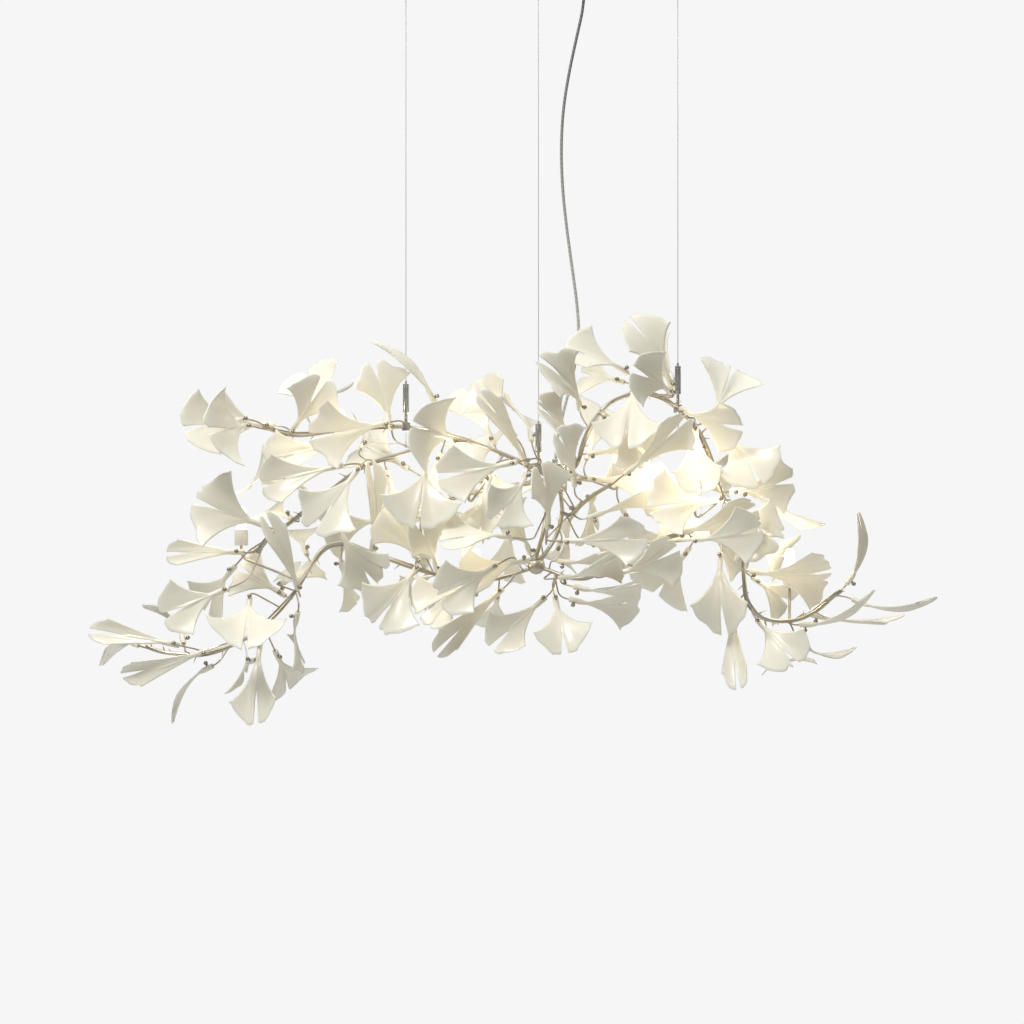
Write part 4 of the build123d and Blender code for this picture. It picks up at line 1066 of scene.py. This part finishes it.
def rod_tree():
    """A thin rod that winds slowly along a branch and is brazed to it."""
    maker, given = geometry_tree("companion_rod", ("Rod radius", "Stand-off", "Turns per metre"))
    fine = maker.spaced(given["Source"], ROD_STEP * MM)
    tangent = maker.add("GeometryNodeInputTangent")
    normal = maker.add("GeometryNodeInputNormal")
    other = maker.vector_maths("CROSS_PRODUCT", tangent, normal)
    angle = maker.add("GeometryNodeSplineParameter", out="Length") * given["Turns per metre"] * 2 * pi
    first = angle.maths("COSINE") * given["Stand-off"]
    second = angle.maths("SINE") * given["Stand-off"]
    offset = maker.vector_maths("ADD", maker.scaled(normal, first), maker.scaled(other, second))
    wound = maker.add("GeometryNodeSetPosition", {"Geometry": fine, "Offset": offset})
    ring = maker.add("GeometryNodeCurvePrimitiveCircle", {"Resolution": 8, "Radius": given["Rod radius"]})
    rods = maker.add("GeometryNodeCurveToMesh", {"Curve": wound, "Profile Curve": ring, "Fill Caps": True})
    return close_tree(maker, rods, twig)


branch_routes = list(BRANCHES.values())
spur_sizes = {"Spacing": SPUR_SPACING * MM, "Spur length": SPUR_LENGTH * MM, "Tube radius": TUBE_R * MM}
spurs = grown("branch_spurs", route_curve("spur_routes", branch_routes), spur_tree(), spur_sizes)
rod_sizes = {"Rod radius": ROD_R * MM, "Stand-off": (TUBE_R + ROD_R * 0.8) * MM,
             "Turns per metre": ROD_TURNS_PER_METRE}
rods = grown("companion_rods", route_curve("rod_routes", branch_routes), rod_tree(), rod_sizes)
for piece in (spurs, rods):
    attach(piece, "leaf_frame")


def lathe(name, profile, around, material_of):
    """A turned mesh from (radius, height) steps, its U running up the profile."""
    vertices = []
    for radius, height in profile:
        for step in range(around):
            angle = 2 * pi * step / around
            vertices.append((radius * cos(angle) * MM, radius * sin(angle) * MM, height * MM))
    shares = [ring / (len(profile) - 1) for ring in range(len(profile))]
    return ringed_mesh(name, vertices, around, shares, material_of)


# Bulb on its two pins: base, neck ring and frosted capsule, as heights above the holder's foot
BULB_PROFILE = (
    (6.9, 14.0), (7.8, 14.3), (8.0, 15.0), (8.0, 25.0), (7.7, 25.8), (6.9, 26.0), (6.7, 27.2), (7.3, 28.4),
    (7.5, 30.5), (7.5, 50.0), (7.3, 52.4), (6.6, 55.2), (5.3, 57.6), (3.6, 59.2), (1.6, 59.9),
)
BULB_SIDES = 28
# Watts that each bulb spills on the leaves round it, and the size of that light in metres
BULB_SHINE = (0.16, 0.19, 0.20, 0.20, 0.22, 0.24, 0.46, 0.25)
SHINE_SIZE = 0.012
for number, lamp in enumerate(LAMPS, 1):
    bulb_mesh = lathe(f"lamp_bulb_{number}", BULB_PROFILE, BULB_SIDES, glowing)
    for vertex in bulb_mesh.vertices:
        vertex.co += lamp * MM
    bulb = show(f"lamp_bulb_{number}", bulb_mesh)
    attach(bulb, f"bulb_{number}")
    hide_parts(f"bulb_{number}")
    bulb.visible_shadow = False
    shine = bpy.data.lights.new(f"bulb_shine_{number}", "POINT")
    shine.energy = BULB_SHINE[number - 1]
    shine.color = (1.0, 0.87, 0.66)
    shine.shadow_soft_size = SHINE_SIZE
    spill = show(f"bulb_shine_{number}", shine)
    spill.location = (lamp + CAPSULE_MIDDLE) * MM
    spill.parent = bulb

# CAD solids that keep their form: fittings with their sharp edges broken, the rest as they are
OWN_FINISH = {
    "gripper_barrels": gripper, "gripper_caps": gripper, "wire_saddles": gripper, "lower_knuckle": nickel,
}
# Width of each broken edge, and the shortest edge that is broken, in millimetres
EDGE_BREAKS = {
    "gripper_barrels": (0.55, 0), "gripper_caps": (0.5, 0), "wire_saddles": (0.9, 11.8), "plunger": (0.35, 0),
    "lamp_holders": (0.6, 0), "hub_cup": (0.6, 0), "hub_lid": (0.6, 0),
}
SHARP_EDGE = radians(40)
FLAT = radians(0.5)
EDGE_STEPS = 2
SOLID_WELD = 0.005 * MM


def broken_edges(name, solid, width, shortest):
    """A copy of a solid with its sharp edges rounded off."""
    shape = bmesh.new()
    shape.from_mesh(solid.data)
    shape.transform(solid.matrix_world)
    bmesh.ops.remove_doubles(shape, verts=shape.verts, dist=SOLID_WELD)
    bmesh.ops.dissolve_limit(shape, angle_limit=FLAT, verts=shape.verts, edges=shape.edges)
    long = [edge for edge in shape.edges if edge.is_manifold and edge.calc_length() > shortest * MM]
    sharp = [edge for edge in long if edge.calc_face_angle() > SHARP_EDGE]
    bmesh.ops.bevel(shape, geom=sharp, offset=width * MM, segments=EDGE_STEPS, profile=0.5, affect="EDGES",
                    clamp_overlap=True)
    for face in shape.faces:
        face.smooth = True
    mesh = bpy.data.meshes.new(name)
    shape.to_mesh(mesh)
    shape.free()
    mesh.set_sharp_from_angle(angle=SHARP_EDGE)
    return mesh


for subpart in frame["record"]["subparts"]:
    node = subpart["node"]
    solid = nodes_of[node]
    finish = OWN_FINISH.get(node, MATERIALS[subpart["material_slot"]])
    solid.data.materials.clear()
    solid.data.materials.append(finish)
    plunger = node.startswith("plunger_")
    edge_break = EDGE_BREAKS.get("plunger" if plunger else node)
    if edge_break:
        mesh = broken_edges("trimmed_" + node, solid, *edge_break)
        mesh.materials.clear()
        mesh.materials.append(finish)
        piece = show("trimmed_" + node, mesh)
        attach(piece, node if plunger else "leaf_frame")
        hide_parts(node)

# Studio: pale walls, brighter from above, a soft key light and a pale floor out of the front view
world = bpy.data.worlds.new("pale_studio")
world.use_nodes = True
scene.world = world
sky = Maker(world.node_tree)
up = sky.parts(sky.add("ShaderNodeTexCoord", out="Generated"))[2]
seen = sky.add("ShaderNodeLightPath", out="Is Camera Ray")
pale = shade(0.9216, 0.9216, 0.9216)
below = sky.mix(up.step(-0.32, -0.12), shade(0.12, 0.108, 0.09), shade(0.40, 0.393, 0.37))
walls = sky.mix(up.step(0.12, 0.3), below, shade(0.32, 0.315, 0.30))
overhead = sky.mix(up.step(0.45, 0.95), walls, shade(1.6, 1.6, 1.58))
backdrop = sky.mix(seen, overhead, pale)
world.node_tree.links.new(backdrop.socket, world.node_tree.nodes["Background"].inputs["Color"])


def area_light(name, place, target, size, power, colour):
    """A square light at a place, facing a target."""
    data = bpy.data.lights.new(name, "AREA")
    data.size = size
    data.energy = power
    data.color = colour
    light = show(name, data)
    light.location = place
    light.rotation_euler = (Vector(target) - Vector(place)).to_track_quat("-Z", "Y").to_euler()


LEAF_MIDDLE = (0.0, 0.0, -0.85)
area_light("key", (-1.3, -1.5, 0.9), LEAF_MIDDLE, 0.8, 41.0, (1.0, 0.98, 0.94))
area_light("rim", (1.8, 1.2, 0.3), LEAF_MIDDLE, 1.0, 7.0, (1.0, 0.98, 0.95))

FLOOR_Z = -1.9
FLOOR_R = 2.4
FLOOR_SIDES = 96
floor_paint = plain_material("floor_paint", shade(0.62, 0.62, 0.62), shade(0.60, 0.60, 0.60), 0.6, 0.02)
floor_ring = []
for step in range(FLOOR_SIDES):
    angle = 2 * pi * step / FLOOR_SIDES
    floor_ring.append((FLOOR_R * cos(angle), FLOOR_R * sin(angle), FLOOR_Z))
floor_mesh = bpy.data.meshes.new("floor")
floor_mesh.from_pydata(floor_ring, [], [tuple(range(FLOOR_SIDES))])
floor_mesh.materials.append(floor_paint)
show("floor", floor_mesh)
